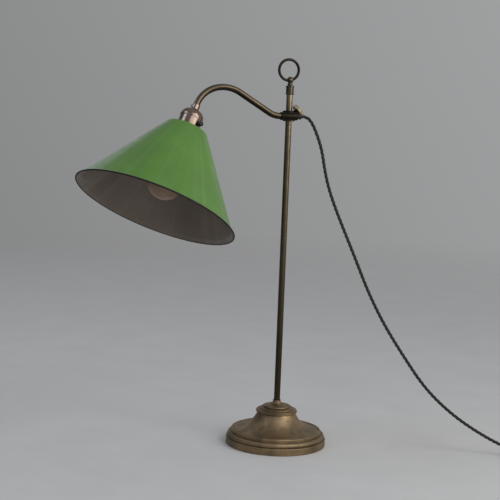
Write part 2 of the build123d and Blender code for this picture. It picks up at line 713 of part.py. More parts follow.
def make_bulb_cap():
    cap_top = BULB_CAP_TOP - BULB_CONTACT_H
    cap = rod(BULB_CAP_D / 2, BULB_CAP_BOTTOM, cap_top)
    cap += rod(BULB_CONTACT_D / 2, cap_top, BULB_CAP_TOP)
    reach = BULB_CAP_D / 2 + BAYONET_PIN_REACH
    cap += across_holder(BAYONET_PIN_D / 2, -reach, reach, 90, cap_top - BAYONET_PIN_DROP)
    return HOLDER_PLANE * cap


def bulb_outline(inset):
    """Edges of the bulb's glass from the neck to the tip, drawn in by a wall."""
    radius = BULB_D / 2 - inset
    centre_z = BULB_TIP + BULB_D / 2
    neck_r = BULB_NECK_D / 2 - inset
    shoulder = (radius * math.cos(math.pi / 6), centre_z + radius * math.sin(math.pi / 6))
    neck = (neck_r, BULB_CAP_BOTTOM - BULB_SHOULDER_DROP)
    collar = (neck_r, BULB_CAP_BOTTOM)
    tip = (0, centre_z - radius)
    return [
        Line(collar, neck),
        SagittaArc(neck, shoulder, BULB_NECK_SWELL),
        ThreePointArc(shoulder, (radius, centre_z), tip),
    ], collar, tip


def make_bulb_glass():
    outer, collar, tip = bulb_outline(0)
    inner, inner_collar, inner_tip = bulb_outline(BULB_GLASS_T)
    return HOLDER_PLANE * turned(*outer, *inner, Line(collar, inner_collar), Line(tip, inner_tip))


# Flex
def corner_radii(points):
    """Bend at each inner point: a share of its shorter run, over the tangent of half the turn."""
    radii = []
    for before, here, after in zip(points, points[1:], points[2:]):
        run_in = Vector(*here) - Vector(*before)
        run_out = Vector(*after) - Vector(*here)
        half_turn = math.radians(run_in.get_angle(run_out)) / 2
        radii.append(BEND_SHARE * min(run_in.length, run_out.length) / math.tan(half_turn))
    return radii


def make_cord_run(name, points):
    radii = corner_radii(points)
    path = FilletPolyline(*points, radius=radii)
    tube = round_tube(path, CORD_R)
    share = tube.volume / (math.pi * CORD_R**2 * path.length)
    print(f"{name}: length {path.length:.0f}, least radius {min(radii):.1f}, volume share {share:.4f}")
    return tube


def make_cord_upper():
    return make_cord_run("cord_upper", CORD_ROUTE[:CORD_UPPER_COUNT])


def make_cord_hanging():
    return make_cord_run("cord_hanging", CORD_ROUTE[CORD_UPPER_COUNT - 1 :])


def coil_plane():
    """Plane of the coil: zero where the flex reaches it, X onwards along the flex."""
    before = Vector(*CORD_ROUTE[-2])
    start = Vector(*CORD_ROUTE[-1])
    return Plane(origin=start, x_dir=start - before, z_dir=(0, 0, 1))


def coil_path():
    """Half turns that spiral in on the table, climb, and spiral out again on top."""
    step = COIL_PITCH / 2
    start = Vector(0, 0, 0)
    edges = [Line((-CORD_D, 0, 0), start)]
    side = 1
    radius = COIL_R
    for _ in range(COIL_HALF_TURNS_IN):
        end = start + Vector(0, 2 * side * radius, 0)
        middle = (start + end) / 2 + Vector(side * radius, 0, 0)
        edges.append(ThreePointArc(start, middle, end))
        start = end
        side = -side
        radius -= step
    end = start + Vector(0, 2 * side * radius, COIL_PITCH)
    heading = Vector(side, 0, 0)
    middle = (start + end) / 2 + heading * ((end - start).length / 2)
    first = TangentArc(start, middle, tangent=heading)
    edges.append(first)
    edges.append(TangentArc(middle, end, tangent=first % 1))
    start = end
    side = -side
    for _ in range(COIL_HALF_TURNS_OUT):
        radius += step
        end = start + Vector(0, 2 * side * radius, 0)
        middle = (start + end) / 2 + Vector(side * radius, 0, 0)
        edges.append(ThreePointArc(start, middle, end))
        start = end
        side = -side
    edges.append(Line(start, start + Vector(COIL_TAIL, 0, 0)))
    return coil_plane() * Pos(CORD_D, 0, 0) * Wire(edges)


def least_gap(path):
    """Smallest space between turns of a tube, measured on points along its path."""
    spots = [path @ (index / GAP_SAMPLES) for index in range(GAP_SAMPLES + 1)]
    near = int(2 * COIL_R / path.length * GAP_SAMPLES)
    gaps = []
    for index, spot in enumerate(spots):
        for other in spots[index + near :]:
            gaps.append((spot - other).length)
    return min(gaps) - CORD_D


def make_cord_coil():
    path = coil_path()
    tube = round_tube(path, CORD_R)
    share = tube.volume / (math.pi * CORD_R**2 * path.length)
    print(f"cord_coil: length {path.length:.0f}, least gap {least_gap(path):.2f}, volume share {share:.4f}")
    return tube


def make_cord_tie():
    turns_w = COIL_HALF_TURNS_IN * COIL_PITCH / 2 + CORD_D
    inner_w = turns_w + 2 * FREE_CLEARANCE
    inner_h = COIL_PITCH + CORD_D + 2 * FREE_CLEARANCE
    centre_x = CORD_D + COIL_R + CORD_R + FREE_CLEARANCE - inner_w / 2
    outer = RectangleRounded(inner_w + 2 * TIE_T, inner_h + 2 * TIE_T, 2 * TIE_T)
    band = extrude(Plane.XZ * (outer - RectangleRounded(inner_w, inner_h, TIE_T)), TIE_W / 2, both=True)
    return coil_plane() * Pos(centre_x, TIE_PLACE, COIL_PITCH / 2) * band


# Plug
def plug_plane():
    """Plane of the plug: zero on the table under the cord's entry, X along the cord."""
    base = coil_plane()
    entry = base * Pos(CORD_D + COIL_TAIL - PLUG_ENTRY_DEPTH, 0, 0)
    spot = entry.position
    return Plane(origin=(spot.X, spot.Y, 0), x_dir=base.x_dir, z_dir=(0, 0, 1))


def plug_slab(low, height):
    """Slab with the plug's outline: a narrow nose at the cord, widening to a square body."""
    outline = make_face(
        Polyline(
            (0, -PLUG_NOSE_W / 2),
            (PLUG_SHOULDER, -PLUG_W / 2),
            (PLUG_L, -PLUG_W / 2),
            (PLUG_L, PLUG_W / 2),
            (PLUG_SHOULDER, PLUG_W / 2),
            (0, PLUG_NOSE_W / 2),
            close=True,
        )
    )
    outline = fillet(outline.vertices(), PLUG_CORNER_R)
    return Pos(0, 0, low) * extrude(outline, height)


def make_plug_cover():
    cover = plug_slab(0, PLUG_COVER_H)
    cover = chamfer(cover.faces().sort_by(Axis.Z)[0].edges(), PLUG_EDGE_CHAMFER)
    entry_z = CORD_ROUTE[-1][2] + COIL_PITCH
    entry = Pos(0, 0, entry_z) * Rot(0, 90, 0) * rod(CORD_R + SEAT_CLEARANCE, 0, PLUG_ENTRY_DEPTH)
    return plug_plane() * (cover - entry)


def pin_blocks(low, extra):
    """The three pins from a height up, grown sideways by a clearance."""
    earth_place = LIVE_PIN_PLACE + PIN_SPREAD
    top = PLUG_COVER_H + PLUG_BASE_H
    upright = (Align.CENTER, Align.CENTER, Align.MIN)
    live = Box(PIN_T + extra, LIVE_PIN_W + extra, top - low + LIVE_PIN_L, align=upright)
    earth = Box(EARTH_PIN_W + extra, PIN_T + extra, top - low + EARTH_PIN_L, align=upright)
    return [
        Pos(LIVE_PIN_PLACE, -PIN_SPREAD / 2, low) * live,
        Pos(LIVE_PIN_PLACE, PIN_SPREAD / 2, low) * live,
        Pos(earth_place, 0, low) * earth,
    ]


def plug_screw_spot():
    return Pos(LIVE_PIN_PLACE + PIN_SPREAD / 2, 0, PLUG_COVER_H + PLUG_BASE_H - PLUG_SCREW_H)


def make_plug_base():
    base = plug_slab(PLUG_COVER_H, PLUG_BASE_H)
    for pin in pin_blocks(PLUG_COVER_H + PIN_SINK, 2 * SEAT_CLEARANCE):
        base -= pin
    base -= plug_screw_spot() * rod(PLUG_SCREW_D / 2 + SEAT_CLEARANCE, 0, 2 * PLUG_SCREW_H)
    return plug_plane() * base


def make_plug_pins():
    return [plug_plane() * pin for pin in pin_blocks(PLUG_COVER_H + PIN_SINK, 0)]


def make_plug_screw():
    return plug_plane() * plug_screw_spot() * rod(PLUG_SCREW_D / 2, 0, PLUG_SCREW_H - SEAT_CLEARANCE)


NODES = {
    "base_shell": make_base_shell,
    "base_weight": make_base_weight,
    "base_felt": make_base_felt,
    "stem_washer": make_stem_washer,
    "stem_nut": make_stem_nut,
    "stem_foot": make_stem_foot,
    "stem": make_stem,
    "finial_ferrule": make_finial_ferrule,
    "finial_stud": make_finial_stud,
    "carrying_ring": make_carrying_ring,
    "slide_bush": make_slide_bush,
    "clamp_body": make_clamp_body,
    "clamp_screw": make_clamp_screw,
    "clamp_knob": make_clamp_knob,
    "arm_tube": make_arm_tube,
    "tail_bush": make_tail_bush,
    "arm_cord": make_arm_cord,
    "holder_entry": make_holder_entry,
    "entry_grub_screw": make_entry_grub_screw,
    "entry_nut": make_entry_nut,
    "holder_cap": make_holder_cap,
    "holder_body": make_holder_body,
    "terminal_block": make_terminal_block,
    "contact_plungers": make_contact_plungers,
    "switch_bar": make_switch_bar,
    "shade_ring": make_shade_ring,
    "shade": make_shade,
    "bulb_cap": make_bulb_cap,
    "bulb_glass": make_bulb_glass,
    "cord_upper": make_cord_upper,
    "cord_hanging": make_cord_hanging,
    "cord_coil": make_cord_coil,
    "cord_tie": make_cord_tie,
    "plug_cover": make_plug_cover,
    "plug_base": make_plug_base,
    "plug_pins": make_plug_pins,
    "plug_screw": make_plug_screw,
}

os.makedirs("parts", exist_ok=True)
for node, make in NODES.items():
    shape = make()
    if isinstance(shape, list):
        shape = Compound(children=[Part(piece.wrapped) for piece in shape])
    shape.label = node
    export_step(shape, f"parts/{node}.step")
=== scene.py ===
import math
from dataclasses import dataclass

import bmesh
import bpy
from mathutils import Matrix, Vector, noise


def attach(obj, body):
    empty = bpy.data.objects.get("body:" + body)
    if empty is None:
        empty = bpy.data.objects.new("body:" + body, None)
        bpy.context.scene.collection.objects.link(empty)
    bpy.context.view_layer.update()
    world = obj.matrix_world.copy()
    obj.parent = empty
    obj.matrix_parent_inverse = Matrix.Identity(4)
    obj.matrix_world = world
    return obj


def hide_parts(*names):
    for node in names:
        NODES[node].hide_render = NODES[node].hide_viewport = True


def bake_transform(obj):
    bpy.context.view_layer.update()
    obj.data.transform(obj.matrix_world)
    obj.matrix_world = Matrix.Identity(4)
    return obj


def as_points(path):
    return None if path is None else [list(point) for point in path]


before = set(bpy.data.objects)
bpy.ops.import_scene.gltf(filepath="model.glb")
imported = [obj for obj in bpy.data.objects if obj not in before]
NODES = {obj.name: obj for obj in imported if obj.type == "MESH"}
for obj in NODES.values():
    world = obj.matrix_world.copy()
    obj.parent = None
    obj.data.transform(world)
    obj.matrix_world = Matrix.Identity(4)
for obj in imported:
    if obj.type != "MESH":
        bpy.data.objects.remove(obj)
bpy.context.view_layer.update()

# Lengths are in metres, angles in radians and colours in linear light, unless a line says otherwise.

# Camera
CAMERA_AT = Vector((-0.70607, -1.88904, 0.55264))
CAMERA_TURN = math.radians(19.0)
CAMERA_DOWN = 0.119
CAMERA_ROLL = 0.039
CAMERA_LENS = 92.16  # mm, on a 36 mm sensor
CAMERA_NEAR = 0.05

# Flex: the route's points from the arm's tail to the table
CORD_D = 0.0055
ROUTE = [
    (0.0152, -0.01265, 0.5250),
    (0.0228, -0.01265, 0.5250),
    (0.0302, -0.0132, 0.5208),
    (0.0365, -0.0145, 0.5113),
    (0.0432, -0.0164, 0.4960),
    (0.0511, -0.0184, 0.4730),
    (0.0558, -0.0203, 0.4460),
    (0.0590, -0.02165, 0.4320),
    (0.0622, -0.0230, 0.4180),
    (0.0724, -0.0276, 0.3880),
    (0.0868, -0.0341, 0.3520),
    (0.1060, -0.0426, 0.3060),
    (0.1259, -0.0524, 0.2550),
    (0.1508, -0.0638, 0.2040),
    (0.1822, -0.0776, 0.1530),
    (0.2165, -0.0939, 0.1015),
    (0.2582, -0.1122, 0.0615),
    (0.3008, -0.1309, 0.0330),
    (0.3391, -0.1471, 0.0135),
    (0.3692, -0.1605, 0.00415),
    (0.3930, -0.1711, 0.00415),
]
UPPER_COUNT = 8  # points of the route that the upper length takes
LINE_STEPS = 24  # of a smooth line, between two of its points
PATH_STEP = 0.0016
STRAND_COUNT = 3
STRAND_R = 0.00128
STRAND_OFFSET = 0.00147
STRAND_LAY = 0.023  # length of one twist
STRAND_SIDES = 10
WEAVE_PITCH = 0.0021
WEAVE_THREADS = 6  # round a strand

# Coil at the flex's far end
COIL_R = 0.035
COIL_PITCH = 0.0061
COIL_HALF_TURNS_IN = 5
COIL_HALF_TURNS_OUT = 6
COIL_POINTS = 8  # on each half turn
COIL_TAIL = (0.015, 0.030, 0.045)

# Strap round the coil
TIE_T = 0.001
TIE_W = 0.006
TIE_EDGE = 0.00035
TIE_PLACE = 0.038
TIE_CLEARANCE = 0.0004
TIE_LAP = 0.009
TIE_START = 0.2  # of the half width, where the strap begins
TIE_LIFT = TIE_T * 1.05  # of the lapped end over the strap's start
TIE_END_LIFT = TIE_LIFT * 1.2
TIE_HALF_W = (COIL_HALF_TURNS_IN * COIL_PITCH / 2 + CORD_D) / 2 + TIE_CLEARANCE + TIE_T / 2
TIE_HALF_H = (COIL_PITCH + CORD_D) / 2 + TIE_CLEARANCE + TIE_T / 2

# Arm, and the place of the lampholder at its end
BARREL_AT = Vector((0, -0.01265, 0.525))
ARM_ROLL = math.radians(15.2)
ARM_TAIL_X = 0.0152
ARM_BEND_X = -0.0204
ARM_BEND_R = 0.030
ARM_BEND_CORNERS = 2
ARM_RISE = math.radians(33.0)
ARM_RAMP = 0.0548
ARM_ARCH_R = 0.0485
ARM_ARCH_CORNERS = 6
ARM_END_TILT = math.radians(24.0)
ARM_FLEX_END = 0.0246
HOLDER_DROP = 0.0420

# Thumbscrew
SCREW_AT = Vector((0, 0, 0.522))
SCREW_RISE = math.radians(37.0)

# Shade
SHADE_MOUTH_R = 0.126
SHADE_TOP_R = 0.032
SHADE_H = 0.1345
SHADE_FLARE = 0.0026
SHADE_LIP_H = 0.004
SHADE_LIP_ROUND = 0.006
SHADE_T = 0.0009
SHADE_HOLE_R = 0.01435
SHADE_SHOULDER_R = 0.003
SHADE_RIM_R = 0.0012
SHADE_RIM_WRAP = 0.55  # angle that the rim's bead turns back on to either face
SHADE_RIM_STEPS = 16
SHADE_STEPS = 224  # round its mesh
SHADE_ROW = 0.005  # between the rows of its mesh
SHADE_WAVE = 0.00025
SHADE_WAVE_RATE = 22  # in a metre

# Order of the shade's materials
OUTSIDE = 0
INSIDE = 1
RIM = 2

# Felt
FELT_T = 0.0025
FELT_R = 0.0761
FELT_HUB = 0.002
FELT_EDGE = 0.0007
FELT_STEPS = 180
FELT_RAGGED = 0.0003
FELT_RAGGED_RATE = 260  # in a metre
FELT_RAGGED_POWER = 8  # keeps the raggedness to the edge

# Casting, and meshes in general
CAST_VOXEL = 0.0004
CAST_SMOOTHING = 0.5
CAST_PASSES = 5
SAME_POINT = 1e-6

# Brass
TOP_HIGHLIGHT_Z = (0.53, 0.55)  # heights between which a painted highlight makes the stem lighter above the clamp
FOOT_SHADE_Z = (0.46, 0.16)  # heights between which painted shade makes it darker towards its foot
MARK_STRENGTH = {"turned": 0.12, "drawn": 0.12, "plain": 0.05}
FRECKLE_TINT = (0.5, 0.42, 0.38)
BRIGHT_TINT = (1.5, 1.5, 1.45)
# Colours of dirt and painted shade in corners, painted shade on downward faces, and painted shade low on
# the stem
CORNER_DIRT_AND_SHADE = (0.028, 0.02, 0.012)
UNDER_SHADE = (0.02, 0.016, 0.011)
FOOT_SHADE = (0.03, 0.022, 0.013)

# Other finishes
# Dirt and painted shade in the corners of bare metal
METAL_DIRT_AND_SHADE = (0.02, 0.018, 0.015)
CHIP_COLOUR = (0.03, 0.026, 0.022)
CHIP_REACH = 0.006  # above the shade's mouth, where chips end
CHIP_FULL = 0.0005  # above the mouth, where they are as many as they get
DUST_TONE = 0.6
DUST_COVER = 0.35
# Pearl glass tones, painted dim and warm as shade and warm bounced light from below
GLASS_LIGHT = (0.28, 0.18, 0.112)
GLASS_DARK = (0.23, 0.148, 0.093)
GLASS_DUST = (0.2, 0.16, 0.125)
EDGE_MATCH = (0.99, 0.8)  # likeness of rounded and plain normals, off an edge and on it
EDGE_SAMPLES = 6
CORNER_LIGHT = (0.75, 0.25)  # light that reaches the open, and a corner
CORNER_SAMPLES = 8

# Studio
FLOOR_HALF = 6.0
FLOOR_FADE = (0.9, 3.2)  # from the lamp
FLOOR_LIGHT = (0.57, 0.57, 0.57)
FLOOR_DARK = (0.53, 0.53, 0.535)
LIGHTS_AIM = Vector((-0.03, -0.03, 0.38))
WORLD_BRIGHT_SIDE = Vector((0.8, -0.35, 0.5))
WORLD_DIM = 0.08
WORLD_BRIGHT = 0.56
WORLD_COLOUR = (0.98, 0.99, 1.0, 1)


# Meshes
def new_object(name, data):
    """An object in the scene."""
    made = bpy.data.objects.new(name, data)
    bpy.context.scene.collection.objects.link(made)
    return made


def finish_mesh(name, bm, materials):
    """A smooth shaded object from a mesh in the making."""
    bmesh.ops.recalc_face_normals(bm, faces=bm.faces)
    data = bpy.data.meshes.new(name)
    bm.to_mesh(data)
    bm.free()
    data.shade_smooth()
    for material in materials:
        data.materials.append(material)
    return new_object(name, data)


def soft_outline(points, radii, steps=6):
    """An open outline with its inner corners turned into arcs."""
    corners = [Vector(p) for p in points]
    found = [corners[0]]
    for before, corner, after, radius in zip(corners, corners[1:], corners[2:], radii):
        back = (before - corner).normalized()
        on = (after - corner).normalized()
        half = back.angle(on) / 2
        reach = min(radius / math.tan(half), (before - corner).length / 2, (after - corner).length / 2)
        centre = corner + (back + on).normalized() * (reach / math.cos(half))
        first = corner + back * reach - centre
        last = corner + on * reach - centre
        for k in range(steps + 1):
            found.append(centre + first.slerp(last, k / steps).normalized() * first.length)
    found.append(corners[-1])
    return found


def divided(points, longest):
    """The same outline with more points on its long runs."""
    found = [points[0]]
    for a, b in zip(points, points[1:]):
        count = math.ceil((b - a).length / longest)
        found.extend(a.lerp(b, k / count) for k in range(1, count + 1))
    return found


def whole_turn(count):
    """Angles that divide a whole turn evenly."""
    return [2 * math.pi * k / count for k in range(count)]


def headings(line):
    """Direction of a line at each of its points."""
    ends = [line[0], *line, line[-1]]
    return [(after - before).normalized() for before, after in zip(ends, ends[2:])]


def quads(rows):
    """Row, place in the row and four corners of each quad between neighbouring closed rows."""
    for i, (row, following) in enumerate(zip(rows, rows[1:])):
        for k in range(len(row)):
            j = (k + 1) % len(row)
            yield i, k, (row[k], row[j], following[j], following[k])


def close_ends(bm, rows):
    """Faces over the first and the last row."""
    bm.faces.new(rows[0])
    bm.faces.new(rows[-1])


def turn_outline(bm, outline, steps, shape, slot_of=None):
    """Turns an outline of radius and height points about Z, and moves each point as the shape says."""
    rows = []
    for radius, height in outline:
        spots = [Vector((radius * math.cos(a), radius * math.sin(a), height)) for a in whole_turn(steps)]
        rows.append([bm.verts.new(shape(spot)) for spot in spots])
    for i, _, corners in quads(rows):
        face = bm.faces.new(corners)
        if slot_of:
            face.material_index = slot_of(i)
    return rows


# Places
def axes_at(origin, x, y, z):
    """Frame with its zero and its three axes given."""
    return Matrix.Translation(origin) @ Matrix((x, y, z)).transposed().to_4x4()


def arm_plane():
    """Plane of the arm's arch: X along the clamp's barrel, Y up in the arch."""
    along = Vector((1, 0, 0))
    up = Vector((0, math.sin(ARM_ROLL), math.cos(ARM_ROLL)))
    return axes_at(BARREL_AT, along, up, along.cross(up))


def wrap(points, at, heading, radius, turn, count):
    """Adds the corners that wrap an arc; gives where it ends and where it heads."""
    part = turn / count
    reach = radius * math.tan(abs(part) / 2)
    for _ in range(count):
        corner = at + heading * reach
        heading = Matrix.Rotation(part, 2) @ heading
        at = corner + heading * reach
        points.append(corner)
    return at, heading


def arm_line():
    """Corners along the arm in its plane, with the place and the heading where its arch ends."""
    corners = []
    start = Vector((ARM_BEND_X, 0))
    at, heading = wrap(corners, start, Vector((-1, 0)), ARM_BEND_R, -ARM_RISE, ARM_BEND_CORNERS)
    at = at + heading * ARM_RAMP
    corners.append(at - heading * ARM_RAMP / 2)
    arch = ARM_RISE + math.pi / 2 - ARM_END_TILT
    at, heading = wrap(corners, at, heading, ARM_ARCH_R, arch, ARM_ARCH_CORNERS)
    return corners, at, heading


def holder_frame():
    """Place of the lampholder: zero at the top of the shade, +Z along the arm's end."""
    _, at, heading = arm_line()
    origin = arm_plane() @ (at + heading * HOLDER_DROP).to_3d()
    tilt = Matrix.Rotation(-ARM_ROLL, 4, "X") @ Matrix.Rotation(ARM_END_TILT, 4, "Y")
    return Matrix.Translation(origin) @ tilt


def screw_frame():
    """Place of the thumbscrew: zero on the stem's axis, +Z out along the screw."""
    axis = Vector((math.cos(SCREW_RISE), 0, math.sin(SCREW_RISE)))
    return Matrix.Translation(SCREW_AT) @ axis.to_track_quat("Z", "Y").to_matrix().to_4x4()


def coil_plane():
    """Plane of the coil: zero at the route's end, X along its last run, on the table."""
    last = Vector(ROUTE[-1])
    along = (last - Vector(ROUTE[-2])).normalized()
    up = Vector((0, 0, 1))
    return axes_at(last, along, up.cross(along), up)


def make_camera():
    """Camera, turned, tipped down and rolled a little."""
    right = Vector((math.cos(CAMERA_TURN), -math.sin(CAMERA_TURN), 0))
    ahead = Vector((math.sin(CAMERA_TURN), math.cos(CAMERA_TURN), 0))
    up = ahead * math.sin(CAMERA_DOWN) + Vector((0, 0, math.cos(CAMERA_DOWN)))
    side = right * math.cos(CAMERA_ROLL) + up * math.sin(CAMERA_ROLL)
    top = up * math.cos(CAMERA_ROLL) - right * math.sin(CAMERA_ROLL)
    data = bpy.data.cameras.new("camera")
    data.lens = CAMERA_LENS
    data.clip_start = CAMERA_NEAR
    camera = new_object("camera", data)
    camera.matrix_world = axes_at(CAMERA_AT, side, top, side.cross(top))
    bpy.context.scene.camera = camera


# Flex
def spline_points(name, points):
    """Points along the smooth line that a cord's route controls."""
    curve = bpy.data.curves.new(name, "CURVE")
    curve.dimensions = "3D"
    curve.resolution_u = LINE_STEPS
    line = curve.splines.new("NURBS")
    line.points.add(len(points) - 1)
    for spot, point in zip(line.points, points):
        spot.co = (*point, 1)
    line.order_u = 3
    line.use_endpoint_u = True
    carrier = bpy.data.objects.new(name, curve)
    mesh = bpy.data.meshes.new_from_object(carrier)
    found = [v.co.copy() for v in mesh.vertices]
    bpy.data.objects.remove(carrier)
    bpy.data.curves.remove(curve)
    bpy.data.meshes.remove(mesh)
    return found


def evenly(points, step):
    """The same line with its points an even distance apart."""
    runs = [0.0]
    for a, b in zip(points, points[1:]):
        runs.append(runs[-1] + (b - a).length)
    count = round(runs[-1] / step)
    found = []
    i = 0
    for k in range(count + 1):
        want = runs[-1] * k / count
        while i < len(points) - 2 and runs[i + 1] < want:
            i += 1
        share = (want - runs[i]) / (runs[i + 1] - runs[i])
        found.append(points[i].lerp(points[i + 1], share))
    return found


def line_length(path):
    """Length of a line along its points."""
    return sum((b - a).length for a, b in zip(path, path[1:]))


def carry_side(path, side):
    """Point, tangent and side at each step of a path, the side carried along without twisting."""
    found = []
    for point, tangent in zip(path, headings(path)):
        side = (side - tangent * side.dot(tangent)).normalized()
        found.append((point, tangent, side))
    return found


def strand_rows(bm, stations, step, phase, share):
    """Rings of vertices along one strand, which starts at its share of a turn."""
    slope = 2 * math.pi * STRAND_OFFSET / STRAND_LAY
    rows = []
    for i, (point, tangent, across) in enumerate(stations):
        over = tangent.cross(across)
        angle = phase + 2 * math.pi * (share + i * step / STRAND_LAY)
        out = across * math.cos(angle) + over * math.sin(angle)
        round_way = over * math.cos(angle) - across * math.sin(angle)
        heading = (tangent + round_way * slope).normalized()
        beside = heading.cross(out)
        centre = point + out * STRAND_OFFSET
        ring = [out * math.cos(turn) + beside * math.sin(turn) for turn in whole_turn(STRAND_SIDES)]
        rows.append([bm.verts.new(centre + spoke * STRAND_R) for spoke in ring])
    return rows


def strand_faces(bm, rows, step, weave):
    """Faces of one strand, which hold how far along and around it they lie."""
    for i, k, corners in quads(rows):
        face = bm.faces.new(corners)
        places = ((i, k), (i, k + 1), (i + 1, k + 1), (i + 1, k))
        for loop, (length, turn) in zip(face.loops, places):
            loop[weave].uv = (length * step, turn / STRAND_SIDES)
    close_ends(bm, rows)


def twisted(name, path, side, phase, material):
    """Covered strands laid round a path. Gives the piece, and the side and phase at its end."""
    bm = bmesh.new()
    weave = bm.loops.layers.uv.new("weave")
    stations = carry_side(path, side)
    step = (path[1] - path[0]).length
    for strand in range(STRAND_COUNT):
        rows = strand_rows(bm, stations, step, phase, strand / STRAND_COUNT)
        strand_faces(bm, rows, step, weave)
    made = finish_mesh(name, bm, [material])
    return made, stations[-1][2], phase + 2 * math.pi * (len(path) - 1) * step / STRAND_LAY


def inner_route():
    """Points of the flex inside the arm, from the lampholder to the arm's tail."""
    corners, at, heading = arm_line()
    flat = [Vector((ARM_TAIL_X, 0)), Vector((0, 0)), *corners, at + heading * ARM_FLEX_END]
    plane = arm_plane()
    return [plane @ corner.to_3d() for corner in reversed(flat)]


def coil_points():
    """More points of the lower flex: half turns that spiral in, climb, spiral out, and a straight tail."""
    plane = coil_plane()
    rises = [0.0] * COIL_HALF_TURNS_IN + [COIL_PITCH] + [0.0] * COIL_HALF_TURNS_OUT
    start = Vector((CORD_D, 0, 0))
    radius = COIL_R
    side = 1
    points = []
    for turn, rise in enumerate(rises):
        if turn > COIL_HALF_TURNS_IN:
            radius += COIL_PITCH / 2
        for k in range(COIL_POINTS):
            angle = math.pi * (k + 0.5) / COIL_POINTS
            climb = rise * (1 - math.cos(angle)) / 2
            spot = Vector((math.sin(angle), 1 - math.cos(angle), 0)) * side * radius
            points.append(plane @ (start + spot + Vector((0, 0, climb))))
        start = start + Vector((0, 2 * side * radius, rise))
        side = -side
        if turn < COIL_HALF_TURNS_IN:
            radius -= COIL_PITCH / 2
    return points + [plane @ (start + Vector((reach, 0, 0))) for reach in COIL_TAIL]


def make_flex(material):
    """The flex in three lengths: in the arm, from the arm to below the clamp, and on to the plug."""
    inner_path = evenly(spline_points("inner", inner_route()), PATH_STEP)
    upper_path = evenly(spline_points("upper", ROUTE[:UPPER_COUNT]), PATH_STEP)
    lower_path = evenly(spline_points("lower", ROUTE[UPPER_COUNT - 1:] + coil_points()), PATH_STEP)

    inner, side, phase = twisted("flex_inner", inner_path, Vector((0, 1, 0)), 0.0, material)
    upper, side, phase = twisted("flex_upper", upper_path, side, phase, material)
    lower, _, _ = twisted("flex_lower", lower_path, side, phase, material)
    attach(inner, "arm")
    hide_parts("arm_cord")
    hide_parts("cord_upper")
    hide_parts("cord_hanging", "cord_coil")
    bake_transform(upper)
    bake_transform(lower)
    return upper, upper_path, lower, lower_path


def declare_flex(upper, upper_path, lower, lower_path, tie):
    """Measures the two free lengths of the flex and lists their points; the results are not kept."""
    line_length(upper_path)
    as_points(upper_path)
    line_length(lower_path)
    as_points(lower_path)


# Materials
def scaled(colour, factor, lift=0.0):
    """A colour made lighter or darker."""
    return tuple(c * factor + lift for c in colour)


def tinted(colour, tint):
    """A colour with each of its channels scaled."""
    return tuple(c * share for c, share in zip(colour, tint))


class Surface:
    """A material whose nodes are added in short steps."""

    def __init__(self, name, fixed):
        self.material = bpy.data.materials.new(name)
        self.material.use_nodes = True
        self.tree = self.material.node_tree
        self.shader = self.tree.nodes["Principled BSDF"]
        for socket, value in fixed.items():
            self.feed(socket, value)

    def put(self, socket, value):
        """Links a node's output to a socket, or sets the socket to a value."""
        if isinstance(value, bpy.types.NodeSocket):
            self.tree.links.new(value, socket)
        elif socket.type == "RGBA":
            socket.default_value = (*value, 1)
        else:
            socket.default_value = value

    def feed(self, socket, value):
        """Links or sets one of the shader's sockets."""
        self.put(self.shader.inputs[socket], value)

    def add(self, kind, inputs=(), out=0, **settings):
        """A new node with its inputs and settings; gives one of its outputs."""
        made = self.tree.nodes.new("ShaderNode" + kind)
        for setting, value in settings.items():
            setattr(made, setting, value)
        for socket, value in dict(inputs).items():
            self.put(made.inputs[socket], value)
        return made.outputs[out]

    def place(self, matrix=None):
        """Object coordinates in metres, or those of a tilted frame."""
        spot = self.add("TexCoord", out="Object")
        if matrix is None:
            return spot
        turn = {"Vector": spot, "Location": matrix.translation, "Rotation": matrix.to_euler()}
        return self.add("Mapping", turn, vector_type="TEXTURE")

    def stretch(self, vector, scale):
        """A vector with each of its axes scaled."""
        return self.add("VectorMath", {0: vector, 1: scale}, operation="MULTIPLY")

    def part(self, vector, axis):
        """One of a vector's three parts."""
        return self.add("SeparateXYZ", {0: vector}, out=axis)

    def length(self, vector):
        """How long a vector is."""
        return self.add("VectorMath", {0: vector}, out="Value", operation="LENGTH")

    def polar(self, vector):
        """Radius and height, for marks left by turning."""
        radius = self.length(self.stretch(vector, (1, 1, 0)))
        return self.add("CombineXYZ", {"X": radius, "Y": self.part(vector, "Z")})

    def grain(self, vector, scale, detail, rough, warp=0.0):
        """Cloudy noise, finer with a larger scale."""
        look = {"Scale": scale, "Detail": detail, "Roughness": rough, "Distortion": warp}
        return self.add("TexNoise", {"Vector": vector, **look})

    def spread(self, value, low, high, to_low=0.0, to_high=1.0):
        """A value between two limits, carried over to two others and held between them."""
        return self.add("MapRange", {0: value, 1: low, 2: high, 3: to_low, 4: to_high})

    def calc(self, operation, a, b=0.0):
        """One step of arithmetic."""
        return self.add("Math", {0: a, 1: b}, operation=operation)

    def mix(self, share, a, b):
        """The first colour, with a share of the second."""
        return self.add("Mix", {0: share, 6: a, 7: b}, out=2, data_type="RGBA")

    def bump(self, height, strength, depth, normal=None):
        """A normal that follows a height, laid over another normal if there is one."""
        inputs = {"Height": height, "Strength": strength, "Distance": depth}
        if normal:
            inputs["Normal"] = normal
        return self.add("Bump", inputs)

    def soft_edges(self, radius):
        """A normal that rounds sharp edges, and how near an edge is."""
        rounded = self.add("Bevel", {"Radius": radius}, samples=EDGE_SAMPLES)
        plain = self.add("NewGeometry", out="Normal")
        match = self.add("VectorMath", {0: rounded, 1: plain}, out="Value", operation="DOT_PRODUCT")
        return rounded, self.spread(match, *EDGE_MATCH)

    def crevices(self, distance):
        """One in corners and grooves, zero in the open."""
        light = self.add(
            "AmbientOcclusion", {"Distance": distance}, out="AO", samples=CORNER_SAMPLES, only_local=True,
        )
        return self.spread(light, *CORNER_LIGHT)


